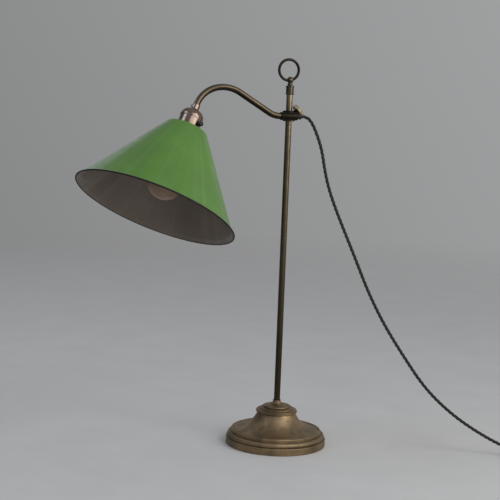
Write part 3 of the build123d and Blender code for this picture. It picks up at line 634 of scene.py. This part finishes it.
@dataclass(frozen=True)
class Wear:
    """How a piece of brass has aged, and the painted shade and highlight on it, in shares of one unless a
    line says otherwise.
    """

    grime_and_shade: float = 0.7  # dirt and painted shade in corners
    edges: float = 0.5  # edges rubbed bright
    under: float = 0.0  # painted shade on faces that look down
    under_slope: tuple = (0.1, -0.7)  # upward part of the normal where that painted shade begins and is full
    dull: float = 0.0  # painted shade low on the stem, darker towards its foot
    rubbed: float = 0.0  # painted highlight above the clamp
    spots: float = 0.55  # brown freckles
    dents: float = 0.12  # strength of small knocks


def worn(made, spot, colour, edge, corner_dirt_and_shade, bright, wear):
    """A brass colour after use: bright edges and dirt in corners, with painted shade in corners, below and
    towards the foot, and a painted highlight on the top.
    """
    scuffs = made.spread(made.grain(spot, 190, detail=4, rough=0.6), 0.4, 0.6, to_high=wear.edges)
    colour = made.mix(made.calc("MULTIPLY", edge, scuffs), colour, bright)
    # Dirt and painted shade in corners.
    colour = made.mix(corner_dirt_and_shade, colour, CORNER_DIRT_AND_SHADE)
    # Painted shade on faces that look down.
    slope = made.part(made.add("NewGeometry", out="Normal"), "Z")
    colour = made.mix(made.spread(slope, *wear.under_slope, to_high=wear.under), colour, UNDER_SHADE)
    # Painted shade: darker towards the stem's foot.
    height = made.part(spot, "Z")
    colour = made.mix(made.spread(height, *FOOT_SHADE_Z, to_high=wear.dull), colour, FOOT_SHADE)
    # Painted highlight: lighter above the clamp.
    return made.mix(made.spread(height, *TOP_HIGHLIGHT_Z, to_high=wear.rubbed), colour, bright)


def tool_marks(made, spot, marks):
    """Fine lines left by turning or drawing, or a plain grain."""
    if marks == "turned":
        return made.grain(made.polar(spot), 1900, detail=3, rough=0.7)
    if marks == "drawn":
        return made.grain(made.stretch(spot, (1, 1, 0.012)), 1500, detail=3, rough=0.7)
    return made.grain(spot, 900, detail=4, rough=0.7)


def brass(name, light, dark, roughness, marks="turned", matrix=None, wear=Wear()):
    """Aged brass: cloudy tarnish, smears, freckles, tool marks and wear, with painted shade and highlight.
    """
    made = Surface(name, {"Metallic": 1.0})
    spot = made.place(matrix)
    clouds = made.grain(spot, 34, detail=6, rough=0.6, warp=0.4)
    freckles = made.grain(spot, 420, detail=3, rough=0.7)
    smears = made.grain(made.stretch(spot, (1, 1, 0.35)), 110, detail=5, rough=0.65, warp=0.8)
    rounded, edge = made.soft_edges(radius=0.0007)
    # Mask of corners that little light reaches, for dirt and painted shade.
    corner_dirt_and_shade = made.calc("MULTIPLY", made.crevices(distance=0.004), wear.grime_and_shade)

    colour = made.mix(made.spread(clouds, 0.36, 0.66), light, dark)
    colour = made.mix(made.spread(smears, 0.52, 0.74, to_high=0.4), colour, dark)
    brown = tinted(dark, FRECKLE_TINT)
    bright = tinted(light, BRIGHT_TINT)
    colour = made.mix(made.spread(freckles, 0.62, 0.74, to_high=wear.spots), colour, brown)
    made.feed("Base Color", worn(made, spot, colour, edge, corner_dirt_and_shade, bright, wear))

    lines = tool_marks(made, spot, marks)
    cloudy_rough = made.spread(clouds, 0.3, 0.7, roughness - 0.06, roughness + 0.08)
    rough = made.calc("ADD", cloudy_rough, made.spread(lines, 0.3, 0.7, -0.04, 0.05))
    rough = made.calc("ADD", rough, made.spread(freckles, 0.6, 0.75, to_high=0.12))
    made.feed("Roughness", made.calc("ADD", rough, made.calc("MULTIPLY", corner_dirt_and_shade, 0.3)))
    fine = made.bump(lines, MARK_STRENGTH[marks], depth=0.00012, normal=rounded)
    knocks = made.grain(spot, 60, detail=3, rough=0.5)
    made.feed("Normal", made.bump(knocks, wear.dents, depth=0.0004, normal=fine))
    return made.material


def enamel_colour(made, spot, colour, deep, chips, streaks):
    """Enamel's uneven colour under dust and wiped streaks, with small chips at the shade's rim."""
    clouds = made.grain(spot, 14, detail=5, rough=0.55, warp=0.3)
    dust = made.grain(spot, 900, detail=2, rough=0.8)
    ray = made.add("VectorMath", {0: made.stretch(spot, (1, 1, 0.02))}, operation="NORMALIZE")
    wiped = made.grain(ray, 11, detail=6, rough=0.62, warp=0.25)
    pale = tuple(c + (DUST_TONE - c) * DUST_COVER for c in colour)
    tint = made.mix(made.spread(clouds, 0.35, 0.68), colour, deep)
    tint = made.mix(made.spread(dust, 0.66, 0.8, to_high=0.35), tint, pale)
    tint = made.mix(made.spread(wiped, 0.5, 0.72, to_high=streaks), tint, pale)
    near_rim = made.spread(made.part(spot, "Z"), CHIP_REACH - SHADE_H, CHIP_FULL - SHADE_H)
    knocks = made.spread(made.grain(spot, 260, detail=4, rough=0.7), 0.6, 0.68, to_high=chips)
    return made.mix(made.calc("MULTIPLY", near_rim, knocks), tint, CHIP_COLOUR)


def enamel(name, colour, deep, roughness, matrix, chips, streaks):
    """Stoved enamel: rubbed gloss, faint spinning rings and a slight orange peel."""
    made = Surface(name, {"Coat Weight": 0.1, "Coat Roughness": 0.15, "Specular IOR Level": 0.4})
    spot = made.place(matrix)
    made.feed("Base Color", enamel_colour(made, spot, colour, deep, chips, streaks))
    rubs = made.grain(spot, 45, detail=6, rough=0.65, warp=0.6)
    made.feed("Roughness", made.spread(rubs, 0.3, 0.72, roughness - 0.06, roughness + 0.12))
    rings = made.grain(made.stretch(made.polar(spot), (1, 0.2, 1)), 260, detail=2, rough=0.5)
    peel = made.bump(made.grain(spot, 520, detail=2, rough=0.5), strength=0.06, depth=0.0003)
    made.feed("Normal", made.bump(rings, strength=0.05, depth=0.0005, normal=peel))
    return made.material


def moulding(name, colour, roughness, speck=0.25, shine=0.5):
    """Moulded plastic: fine grain, faint flow lines, rubbed edges."""
    made = Surface(name, {"Specular IOR Level": shine})
    spot = made.place()
    flow = made.grain(made.stretch(spot, (1, 1, 3)), 90, detail=5, rough=0.6, warp=1.2)
    specks = made.grain(spot, 1400, detail=2, rough=0.7)
    pale = scaled(colour, 2.2, lift=0.02)
    rounded, edge = made.soft_edges(radius=0.0005)
    rubbed = made.calc("MULTIPLY", edge, made.spread(specks, 0.4, 0.6, to_high=speck))
    tint = made.mix(made.spread(flow, 0.35, 0.7, to_high=0.4), colour, pale)
    made.feed("Base Color", made.mix(rubbed, tint, pale))
    made.feed("Roughness", made.spread(flow, 0.3, 0.7, roughness - 0.05, roughness + 0.1))
    made.feed("Normal", made.bump(specks, strength=0.08, depth=0.0001, normal=rounded))
    return made.material


def bare_metal(name, light, dark, roughness, metal=1.0):
    """Plain metal: brushed lines, stains, dirt and painted shade in corners."""
    made = Surface(name, {"Metallic": metal})
    spot = made.place()
    stains = made.grain(spot, 240, detail=5, rough=0.65, warp=0.5)
    lines = made.grain(made.stretch(spot, (1, 0.08, 1)), 2600, detail=3, rough=0.7)
    rounded, edge = made.soft_edges(radius=0.0003)
    tint = made.mix(made.spread(stains, 0.4, 0.7), light, dark)
    tint = made.mix(made.calc("MULTIPLY", edge, 0.4), tint, scaled(light, 1.5))
    # Dirt and painted shade in corners.
    made.feed("Base Color", made.mix(made.crevices(distance=0.0015), tint, METAL_DIRT_AND_SHADE))
    made.feed("Roughness", made.spread(stains, 0.3, 0.7, roughness - 0.06, roughness + 0.14))
    made.feed("Normal", made.bump(lines, strength=0.15, depth=0.0001, normal=rounded))
    return made.material


def felt(name, colour):
    """Pressed wool: matted fibres, lint and a soft sheen."""
    made = Surface(name, {"Sheen Weight": 0.6, "Sheen Roughness": 0.6, "Roughness": 0.95})
    spot = made.place()
    fibres = made.grain(made.stretch(spot, (1, 0.3, 1)), 1600, detail=4, rough=0.75, warp=2.5)
    mats = made.grain(spot, 160, detail=4, rough=0.6)
    pale = scaled(colour, 1.9, lift=0.01)
    tint = made.mix(made.spread(fibres, 0.42, 0.66), colour, pale)
    made.feed("Base Color", made.mix(made.spread(mats, 0.45, 0.75, to_high=0.4), tint, pale))
    made.feed("Normal", made.bump(fibres, strength=0.6, depth=0.0004))
    return made.material


def fabric(name, colour, highlight):
    """Braided cotton over a strand: crossing threads, lint and a dull sheen."""
    made = Surface(name, {"Sheen Weight": 0.35, "Sheen Roughness": 0.45, "Specular IOR Level": 0.3})
    weave = made.add("Attribute", out="Vector", attribute_name="weave", attribute_type="GEOMETRY")
    run = made.calc("MULTIPLY", made.part(weave, "X"), 2 * math.pi / WEAVE_PITCH)
    turn = made.calc("MULTIPLY", made.part(weave, "Y"), 2 * math.pi * WEAVE_THREADS)
    left = made.calc("SINE", made.calc("ADD", run, turn))
    right = made.calc("SINE", made.calc("SUBTRACT", run, turn))
    threads = made.calc("MAXIMUM", left, right)
    lint = made.grain(made.stretch(made.place(), (1, 1, 0.4)), 1900, detail=3, rough=0.7, warp=1.0)
    tint = made.mix(made.spread(threads, -0.2, 1.0), colour, highlight)
    linty = made.mix(made.spread(lint, 0.55, 0.8, to_high=0.5), tint, scaled(highlight, 1.7, lift=0.012))
    made.feed("Base Color", linty)
    made.feed("Roughness", made.spread(lint, 0.3, 0.7, 0.62, 0.85))
    made.feed("Normal", made.bump(threads, strength=0.45, depth=0.00022))
    return made.material


def leather(name, colour):
    """Strap: pebbled grain, rubbed high spots."""
    made = Surface(name, {"Specular IOR Level": 0.4})
    spot = made.place()
    pebbles = made.add("TexVoronoi", {"Vector": spot, "Scale": 1500}, feature="DISTANCE_TO_EDGE")
    patches = made.grain(spot, 180, detail=4, rough=0.6)
    tint = made.mix(made.spread(pebbles, 0.0, 0.25), scaled(colour, 0.5), colour)
    rubbed = made.mix(made.spread(patches, 0.4, 0.7, to_high=0.6), tint, scaled(colour, 1.8, lift=0.01))
    made.feed("Base Color", rubbed)
    made.feed("Roughness", made.spread(patches, 0.3, 0.7, 0.45, 0.65))
    made.feed("Normal", made.bump(pebbles, strength=0.4, depth=0.0002))
    return made.material


def pearl_glass(name, matrix):
    """Etched bulb glass: milky, a little uneven and dusty, its pale colour painted dim and warm as shade
    and bounced light.
    """
    made = Surface(name, {"Transmission Weight": 0.12, "IOR": 1.48})
    spot = made.place(matrix)
    haze = made.grain(spot, 70, detail=5, rough=0.6)
    dust = made.grain(spot, 1300, detail=2, rough=0.7)
    tint = made.mix(made.spread(haze, 0.35, 0.7), GLASS_LIGHT, GLASS_DARK)
    made.feed("Base Color", made.mix(made.spread(dust, 0.62, 0.8, to_high=0.3), tint, GLASS_DUST))
    made.feed("Roughness", made.spread(haze, 0.3, 0.7, 0.24, 0.36))
    made.feed("Normal", made.bump(dust, strength=0.03, depth=0.0001))
    return made.material


# Pieces
def rim_bead(wall, slant):
    """Section of the wired rim, round from the shade's outer face to its inner one."""
    centre = Vector((SHADE_MOUTH_R - wall / 2, -SHADE_H))
    sweep = math.pi + 2 * SHADE_RIM_WRAP
    found = []
    for k in range(SHADE_RIM_STEPS + 1):
        turn = slant + SHADE_RIM_WRAP - sweep * k / SHADE_RIM_STEPS
        found.append(centre + Vector((math.cos(turn), math.sin(turn))) * SHADE_RIM_R)
    return found


def shade_outline():
    """Section of the shade's wall, closed on itself, and which of its points begin and end the rim."""
    cone_r = SHADE_MOUTH_R - SHADE_FLARE
    slant = math.atan2(cone_r - SHADE_TOP_R, SHADE_H)
    wall = SHADE_T / math.cos(slant)
    inner_top = SHADE_TOP_R - wall + SHADE_T * math.tan(slant)
    lip_r = cone_r - SHADE_LIP_H * math.tan(slant)
    lip_z = SHADE_LIP_H - SHADE_H
    outer = soft_outline(
        [(SHADE_HOLE_R, 0), (SHADE_TOP_R, 0), (lip_r, lip_z), (SHADE_MOUTH_R, -SHADE_H)],
        (SHADE_SHOULDER_R, SHADE_LIP_ROUND),
    )
    inner = soft_outline(
        [(SHADE_MOUTH_R - wall, -SHADE_H), (lip_r - wall, lip_z), (inner_top, -SHADE_T),
         (SHADE_HOLE_R, -SHADE_T)],
        (SHADE_LIP_ROUND, SHADE_SHOULDER_R - SHADE_T),
    )
    bead = rim_bead(wall, math.atan2(SHADE_MOUTH_R - lip_r, SHADE_LIP_H))
    down = divided(outer[:-1] + bead[:1], SHADE_ROW)
    up = divided(bead[-1:] + inner[1:], SHADE_ROW)
    first_bead = len(down) - 1
    last_bead = first_bead + len(bead) - 1
    return down[:-1] + bead + up[1:] + down[:1], first_bead, last_bead


def make_shade(outside, inside, rim):
    """Spun cone with a wired rim: enamelled in colour outside, and inside in a white that has aged and is
    painted darker as shade.
    """
    matrix = holder_frame()
    outline, first_bead, last_bead = shade_outline()

    def slot_of(row):
        """Material of the faces that follow a row."""
        if row < first_bead:
            return OUTSIDE
        return RIM if row < last_bead else INSIDE

    def uneven(spot):
        """A point of the cone, out of true by a little more towards its mouth."""
        depth = max(-spot.z / SHADE_H, 0.0)
        wave = noise.noise(spot * SHADE_WAVE_RATE) * SHADE_WAVE * depth
        scale = 1 + wave / math.hypot(spot.x, spot.y)
        return matrix @ Vector((spot.x * scale, spot.y * scale, spot.z))

    bm = bmesh.new()
    turn_outline(bm, outline, SHADE_STEPS, uneven, slot_of)
    bmesh.ops.remove_doubles(bm, verts=bm.verts, dist=SAME_POINT)
    shade = finish_mesh("shade_cone", bm, [outside, inside, rim])
    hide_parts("shade")
    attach(shade, "arm")


def tie_line():
    """Middle line of the strap in its plane, its end lapped over its start."""
    start_x = -TIE_HALF_W * TIE_START
    corners = [
        (start_x, TIE_HALF_H),
        (TIE_HALF_W, TIE_HALF_H),
        (TIE_HALF_W, -TIE_HALF_H),
        (-TIE_HALF_W, -TIE_HALF_H),
        (-TIE_HALF_W, TIE_HALF_H + TIE_LIFT),
        (start_x + TIE_LAP, TIE_HALF_H + TIE_END_LIFT),
    ]
    return soft_outline(corners, [2 * TIE_T] * (len(corners) - 2))


def tie_section():
    """Section of the strap, across it and through it, with soft edges."""
    half = [(0, -TIE_T / 2), (TIE_W / 2, -TIE_T / 2), (TIE_W / 2, TIE_T / 2), (0, TIE_T / 2)]
    right = soft_outline(half, [TIE_EDGE] * (len(half) - 2), steps=3)
    return right + [Vector((-p.x, p.y)) for p in reversed(right[1:-1])]


def make_tie(material):
    """Strap round one side of the coil."""
    place_x = CORD_D + COIL_R + CORD_D / 2 + TIE_CLEARANCE - TIE_HALF_W + TIE_T / 2
    plane = coil_plane() @ Matrix.Translation((place_x, TIE_PLACE, COIL_PITCH / 2))
    line = tie_line()
    section = tie_section()
    bm = bmesh.new()
    rows = []
    for point, along in zip(line, headings(line)):
        out = Vector((-along.y, along.x))
        row = []
        for across, thick in section:
            spot = point + out * thick
            row.append(bm.verts.new(plane @ Vector((spot.x, across, spot.y))))
        rows.append(row)
    for _, _, corners in quads(rows):
        bm.faces.new(corners)
    close_ends(bm, rows)
    tie = finish_mesh("coil_strap", bm, [material])
    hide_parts("cord_tie")
    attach(tie, "root")
    return tie


def make_felt(material):
    """Felt disc with a slightly ragged edge."""
    section = [(FELT_HUB, FELT_T), (FELT_R, FELT_T), (FELT_R, 0), (FELT_HUB, 0)]
    outline = soft_outline(section, [FELT_EDGE] * (len(section) - 2), steps=4)

    def ragged(spot):
        """A point of the disc, moved in or out if it lies at the edge."""
        share = math.hypot(spot.x, spot.y) / FELT_R
        flat = Vector((spot.x, spot.y, 0))
        wave = noise.noise(flat * FELT_RAGGED_RATE) * FELT_RAGGED * share ** FELT_RAGGED_POWER
        scale = 1 + wave / FELT_R
        return Vector((spot.x * scale, spot.y * scale, spot.z))

    bm = bmesh.new()
    close_ends(bm, turn_outline(bm, outline, FELT_STEPS, ragged))
    pad = finish_mesh("felt_pad", bm, [material])
    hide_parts("base_felt")
    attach(pad, "root")


def make_casting(material):
    """The clamp's body as a casting: its corners blended as a sand mould leaves them."""
    data = NODES["clamp_body"].data.copy()
    rough = new_object("clamp_rough", data)
    remesh = rough.modifiers.new("remesh", "REMESH")
    remesh.mode = "VOXEL"
    remesh.voxel_size = CAST_VOXEL
    smooth = rough.modifiers.new("smooth", "SMOOTH")
    smooth.factor = CAST_SMOOTHING
    smooth.iterations = CAST_PASSES
    depsgraph = bpy.context.evaluated_depsgraph_get()
    cast_data = bpy.data.meshes.new_from_object(rough.evaluated_get(depsgraph))
    bpy.data.objects.remove(rough)
    bpy.data.meshes.remove(data)
    cast_data.shade_smooth()
    cast_data.materials.clear()
    cast_data.materials.append(material)
    casting = new_object("clamp_casting", cast_data)
    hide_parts("clamp_body")
    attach(casting, "clamp")


# Finishes of the solids that show as they are
def paint(material, *names):
    """Gives solids one material."""
    for name in names:
        data = NODES[name].data
        data.materials.clear()
        data.materials.append(material)


def paint_stand():
    """Brass of the base, the stem, the finial and the carrying ring."""
    base = brass("brass_base", light=(0.31, 0.212, 0.12), dark=(0.15, 0.118, 0.073), roughness=0.47)
    # The stem gets painted shade towards its foot and a painted highlight above the clamp.
    stem = brass(
        "brass_stem", light=(0.165, 0.134, 0.086), dark=(0.1, 0.08, 0.05), roughness=0.27, marks="drawn",
        wear=Wear(dull=0.85, rubbed=0.85, spots=0.35, dents=0.04),
    )
    # Finial and ring get painted shade on faces that look down.
    finial = brass(
        "brass_finial", light=(0.128, 0.109, 0.07), dark=(0.068, 0.058, 0.038), roughness=0.27,
        wear=Wear(under=0.5),
    )
    ring = brass(
        "brass_ring", light=(0.034, 0.029, 0.02), dark=(0.018, 0.015, 0.011), roughness=0.34, marks="plain",
        wear=Wear(under=0.5, dents=0.04),
    )
    paint(base, "base_shell", "stem_foot")
    paint(stem, "stem", "slide_bush")
    paint(finial, "finial_ferrule", "finial_stud")
    paint(ring, "carrying_ring")


def paint_arm(holder):
    """Brass of the arm, the thumbscrew and the lampholder."""
    # Painted shade darkens the arm's underside.
    arm = brass(
        "brass_arm", light=(0.142, 0.112, 0.074), dark=(0.098, 0.075, 0.048), roughness=0.26, marks="plain",
        wear=Wear(under=0.92, under_slope=(0.55, -0.3), spots=0.2, dents=0.02),
    )
    # The knob is lighter, partly from hand polish and partly as a painted highlight, with painted shade
    # underneath.
    knob = brass(
        "brass_knob", light=(0.43, 0.365, 0.235), dark=(0.26, 0.21, 0.13), roughness=0.27,
        matrix=screw_frame(), wear=Wear(under=0.9),
    )
    lampholder = brass(
        "brass_holder", light=(0.235, 0.178, 0.145), dark=(0.17, 0.126, 0.099), roughness=0.23,
        matrix=holder, wear=Wear(grime_and_shade=0.8, edges=0.6),
    )
    paint(arm, "arm_tube")
    paint(knob, "clamp_knob", "clamp_screw")
    paint(lampholder, "holder_entry", "holder_cap", "holder_body")


def paint_fittings(holder, dull_black):
    """Finishes of the electrical fittings, the fixings, the bulb and the weight."""
    black = moulding("moulding_black", (0.012, 0.0115, 0.011), roughness=0.22)
    buff = moulding("insulator", (0.42, 0.38, 0.3), roughness=0.5)
    steel = bare_metal("steel", light=(0.5, 0.49, 0.47), dark=(0.28, 0.27, 0.25), roughness=0.35)
    iron = bare_metal(
        "cast_iron", light=(0.07, 0.065, 0.06), dark=(0.04, 0.035, 0.03), roughness=0.65, metal=0.4,
    )
    cap = bare_metal("cap_metal", light=(0.6, 0.58, 0.52), dark=(0.4, 0.38, 0.33), roughness=0.3)
    pins = bare_metal("pin_brass", light=(0.6, 0.45, 0.2), dark=(0.42, 0.3, 0.13), roughness=0.25)
    paint(black, "switch_bar", "shade_ring", "plug_cover", "plug_base")
    paint(dull_black, "tail_bush")
    paint(buff, "terminal_block")
    paint(steel, "stem_washer", "stem_nut", "entry_nut", "entry_grub_screw")
    paint(steel, "contact_plungers", "plug_screw")
    paint(iron, "base_weight")
    paint(cap, "bulb_cap")
    paint(pins, "plug_pins")
    paint(pearl_glass("bulb_pearl", holder), "bulb_glass")


# Studio
def make_floor():
    """Pale floor that fades into the surroundings."""
    made = Surface("floor", {"Roughness": 0.6, "Specular IOR Level": 0.25})
    spot = made.place()
    mottle = made.grain(spot, 9, detail=6, rough=0.6)
    made.feed("Base Color", made.mix(made.spread(mottle, 0.3, 0.7), FLOOR_DARK, FLOOR_LIGHT))
    made.feed("Alpha", made.spread(made.length(spot), FLOOR_FADE[1], FLOOR_FADE[0]))
    bm = bmesh.new()
    bmesh.ops.create_grid(bm, x_segments=1, y_segments=1, size=FLOOR_HALF)
    finish_mesh("floor", bm, [made.material])


def make_world():
    """Soft grey surroundings, lighter towards the window side."""
    world = bpy.data.worlds.new("studio")
    bpy.context.scene.world = world
    world.use_nodes = True
    tree = world.node_tree
    background = tree.nodes["Background"]
    spot = tree.nodes.new("ShaderNodeTexCoord").outputs["Generated"]
    facing = tree.nodes.new("ShaderNodeVectorMath")
    facing.operation = "DOT_PRODUCT"
    facing.inputs[1].default_value = WORLD_BRIGHT_SIDE.normalized()
    tree.links.new(spot, facing.inputs[0])
    ramp = tree.nodes.new("ShaderNodeMapRange")
    ramp.inputs["From Min"].default_value = -1
    ramp.inputs["To Min"].default_value = WORLD_DIM
    ramp.inputs["To Max"].default_value = WORLD_BRIGHT
    tree.links.new(facing.outputs["Value"], ramp.inputs["Value"])
    tree.links.new(ramp.outputs[0], background.inputs["Strength"])
    background.inputs["Color"].default_value = WORLD_COLOUR


def make_light(name, spot, width, height, power, colour):
    """Soft panel turned towards the lamp."""
    data = bpy.data.lights.new(name, "AREA")
    data.shape = "RECTANGLE"
    data.size = width
    data.size_y = height
    data.energy = power
    data.color = colour
    light = new_object(name, data)
    aim = LIGHTS_AIM - Vector(spot)
    light.visible_camera = False
    light.matrix_world = Matrix.Translation(spot) @ aim.to_track_quat("-Z", "Y").to_matrix().to_4x4()


def make_studio():
    """Floor, surroundings and five soft lights."""
    bpy.context.scene.view_settings.view_transform = "Standard"
    make_floor()
    make_world()
    make_light("window", (1.4, -1.8, 1.3), width=1.0, height=2.1, power=27, colour=(1.0, 0.98, 0.95))
    make_light("front", (0.3, -2.0, 1.4), width=1.2, height=1.7, power=13, colour=(1.0, 0.985, 0.965))
    make_light("fill", (-1.9, -1.2, 1.2), width=1.4, height=1.4, power=2.5, colour=(0.93, 0.96, 1.0))
    make_light("back", (-0.49, 2.1, 1.2), width=1.2, height=1.0, power=1.5, colour=(0.85, 0.93, 1.0))
    make_light("stripe", (-1.8, -0.05, 2.0), width=0.95, height=0.6, power=7, colour=(0.68, 0.82, 1.0))


def main():
    """The lamp's own pieces, then the finishes of its solids, then the studio."""
    make_camera()
    holder = holder_frame()
    strap = leather("strap", (0.035, 0.02, 0.012))
    braid = fabric("flex", (0.006, 0.006, 0.0065), highlight=(0.018, 0.0175, 0.017))
    green = enamel(
        "enamel_green", (0.08, 0.2, 0.026), deep=(0.063, 0.163, 0.021), roughness=0.32, matrix=holder,
        chips=0.5, streaks=0.12,
    )
    # Inside white, aged and painted darker as the shade within the cone.
    aged = enamel(
        "enamel_aged_and_shaded", (0.167, 0.131, 0.102), deep=(0.126, 0.098, 0.076), roughness=0.4, matrix=holder,
        chips=0.4, streaks=0.2,
    )
    dull_black = moulding("rim_black", (0.009, 0.008, 0.006), roughness=0.5, speck=0.15, shine=0.2)
    wool = felt("felt_green", (0.012, 0.03, 0.014))
    # The clamp's casting gets painted shade on faces that look down.
    cast = brass(
        "brass_cast", light=(0.02, 0.018, 0.012), dark=(0.012, 0.011, 0.008), roughness=0.4, marks="plain",
        wear=Wear(under=0.6),
    )

    tie = make_tie(strap)
    declare_flex(*make_flex(braid), tie)
    make_shade(green, aged, dull_black)
    make_felt(wool)
    make_casting(cast)
    paint_stand()
    paint_arm(holder)
    paint_fittings(holder, dull_black)
    make_studio()


main()
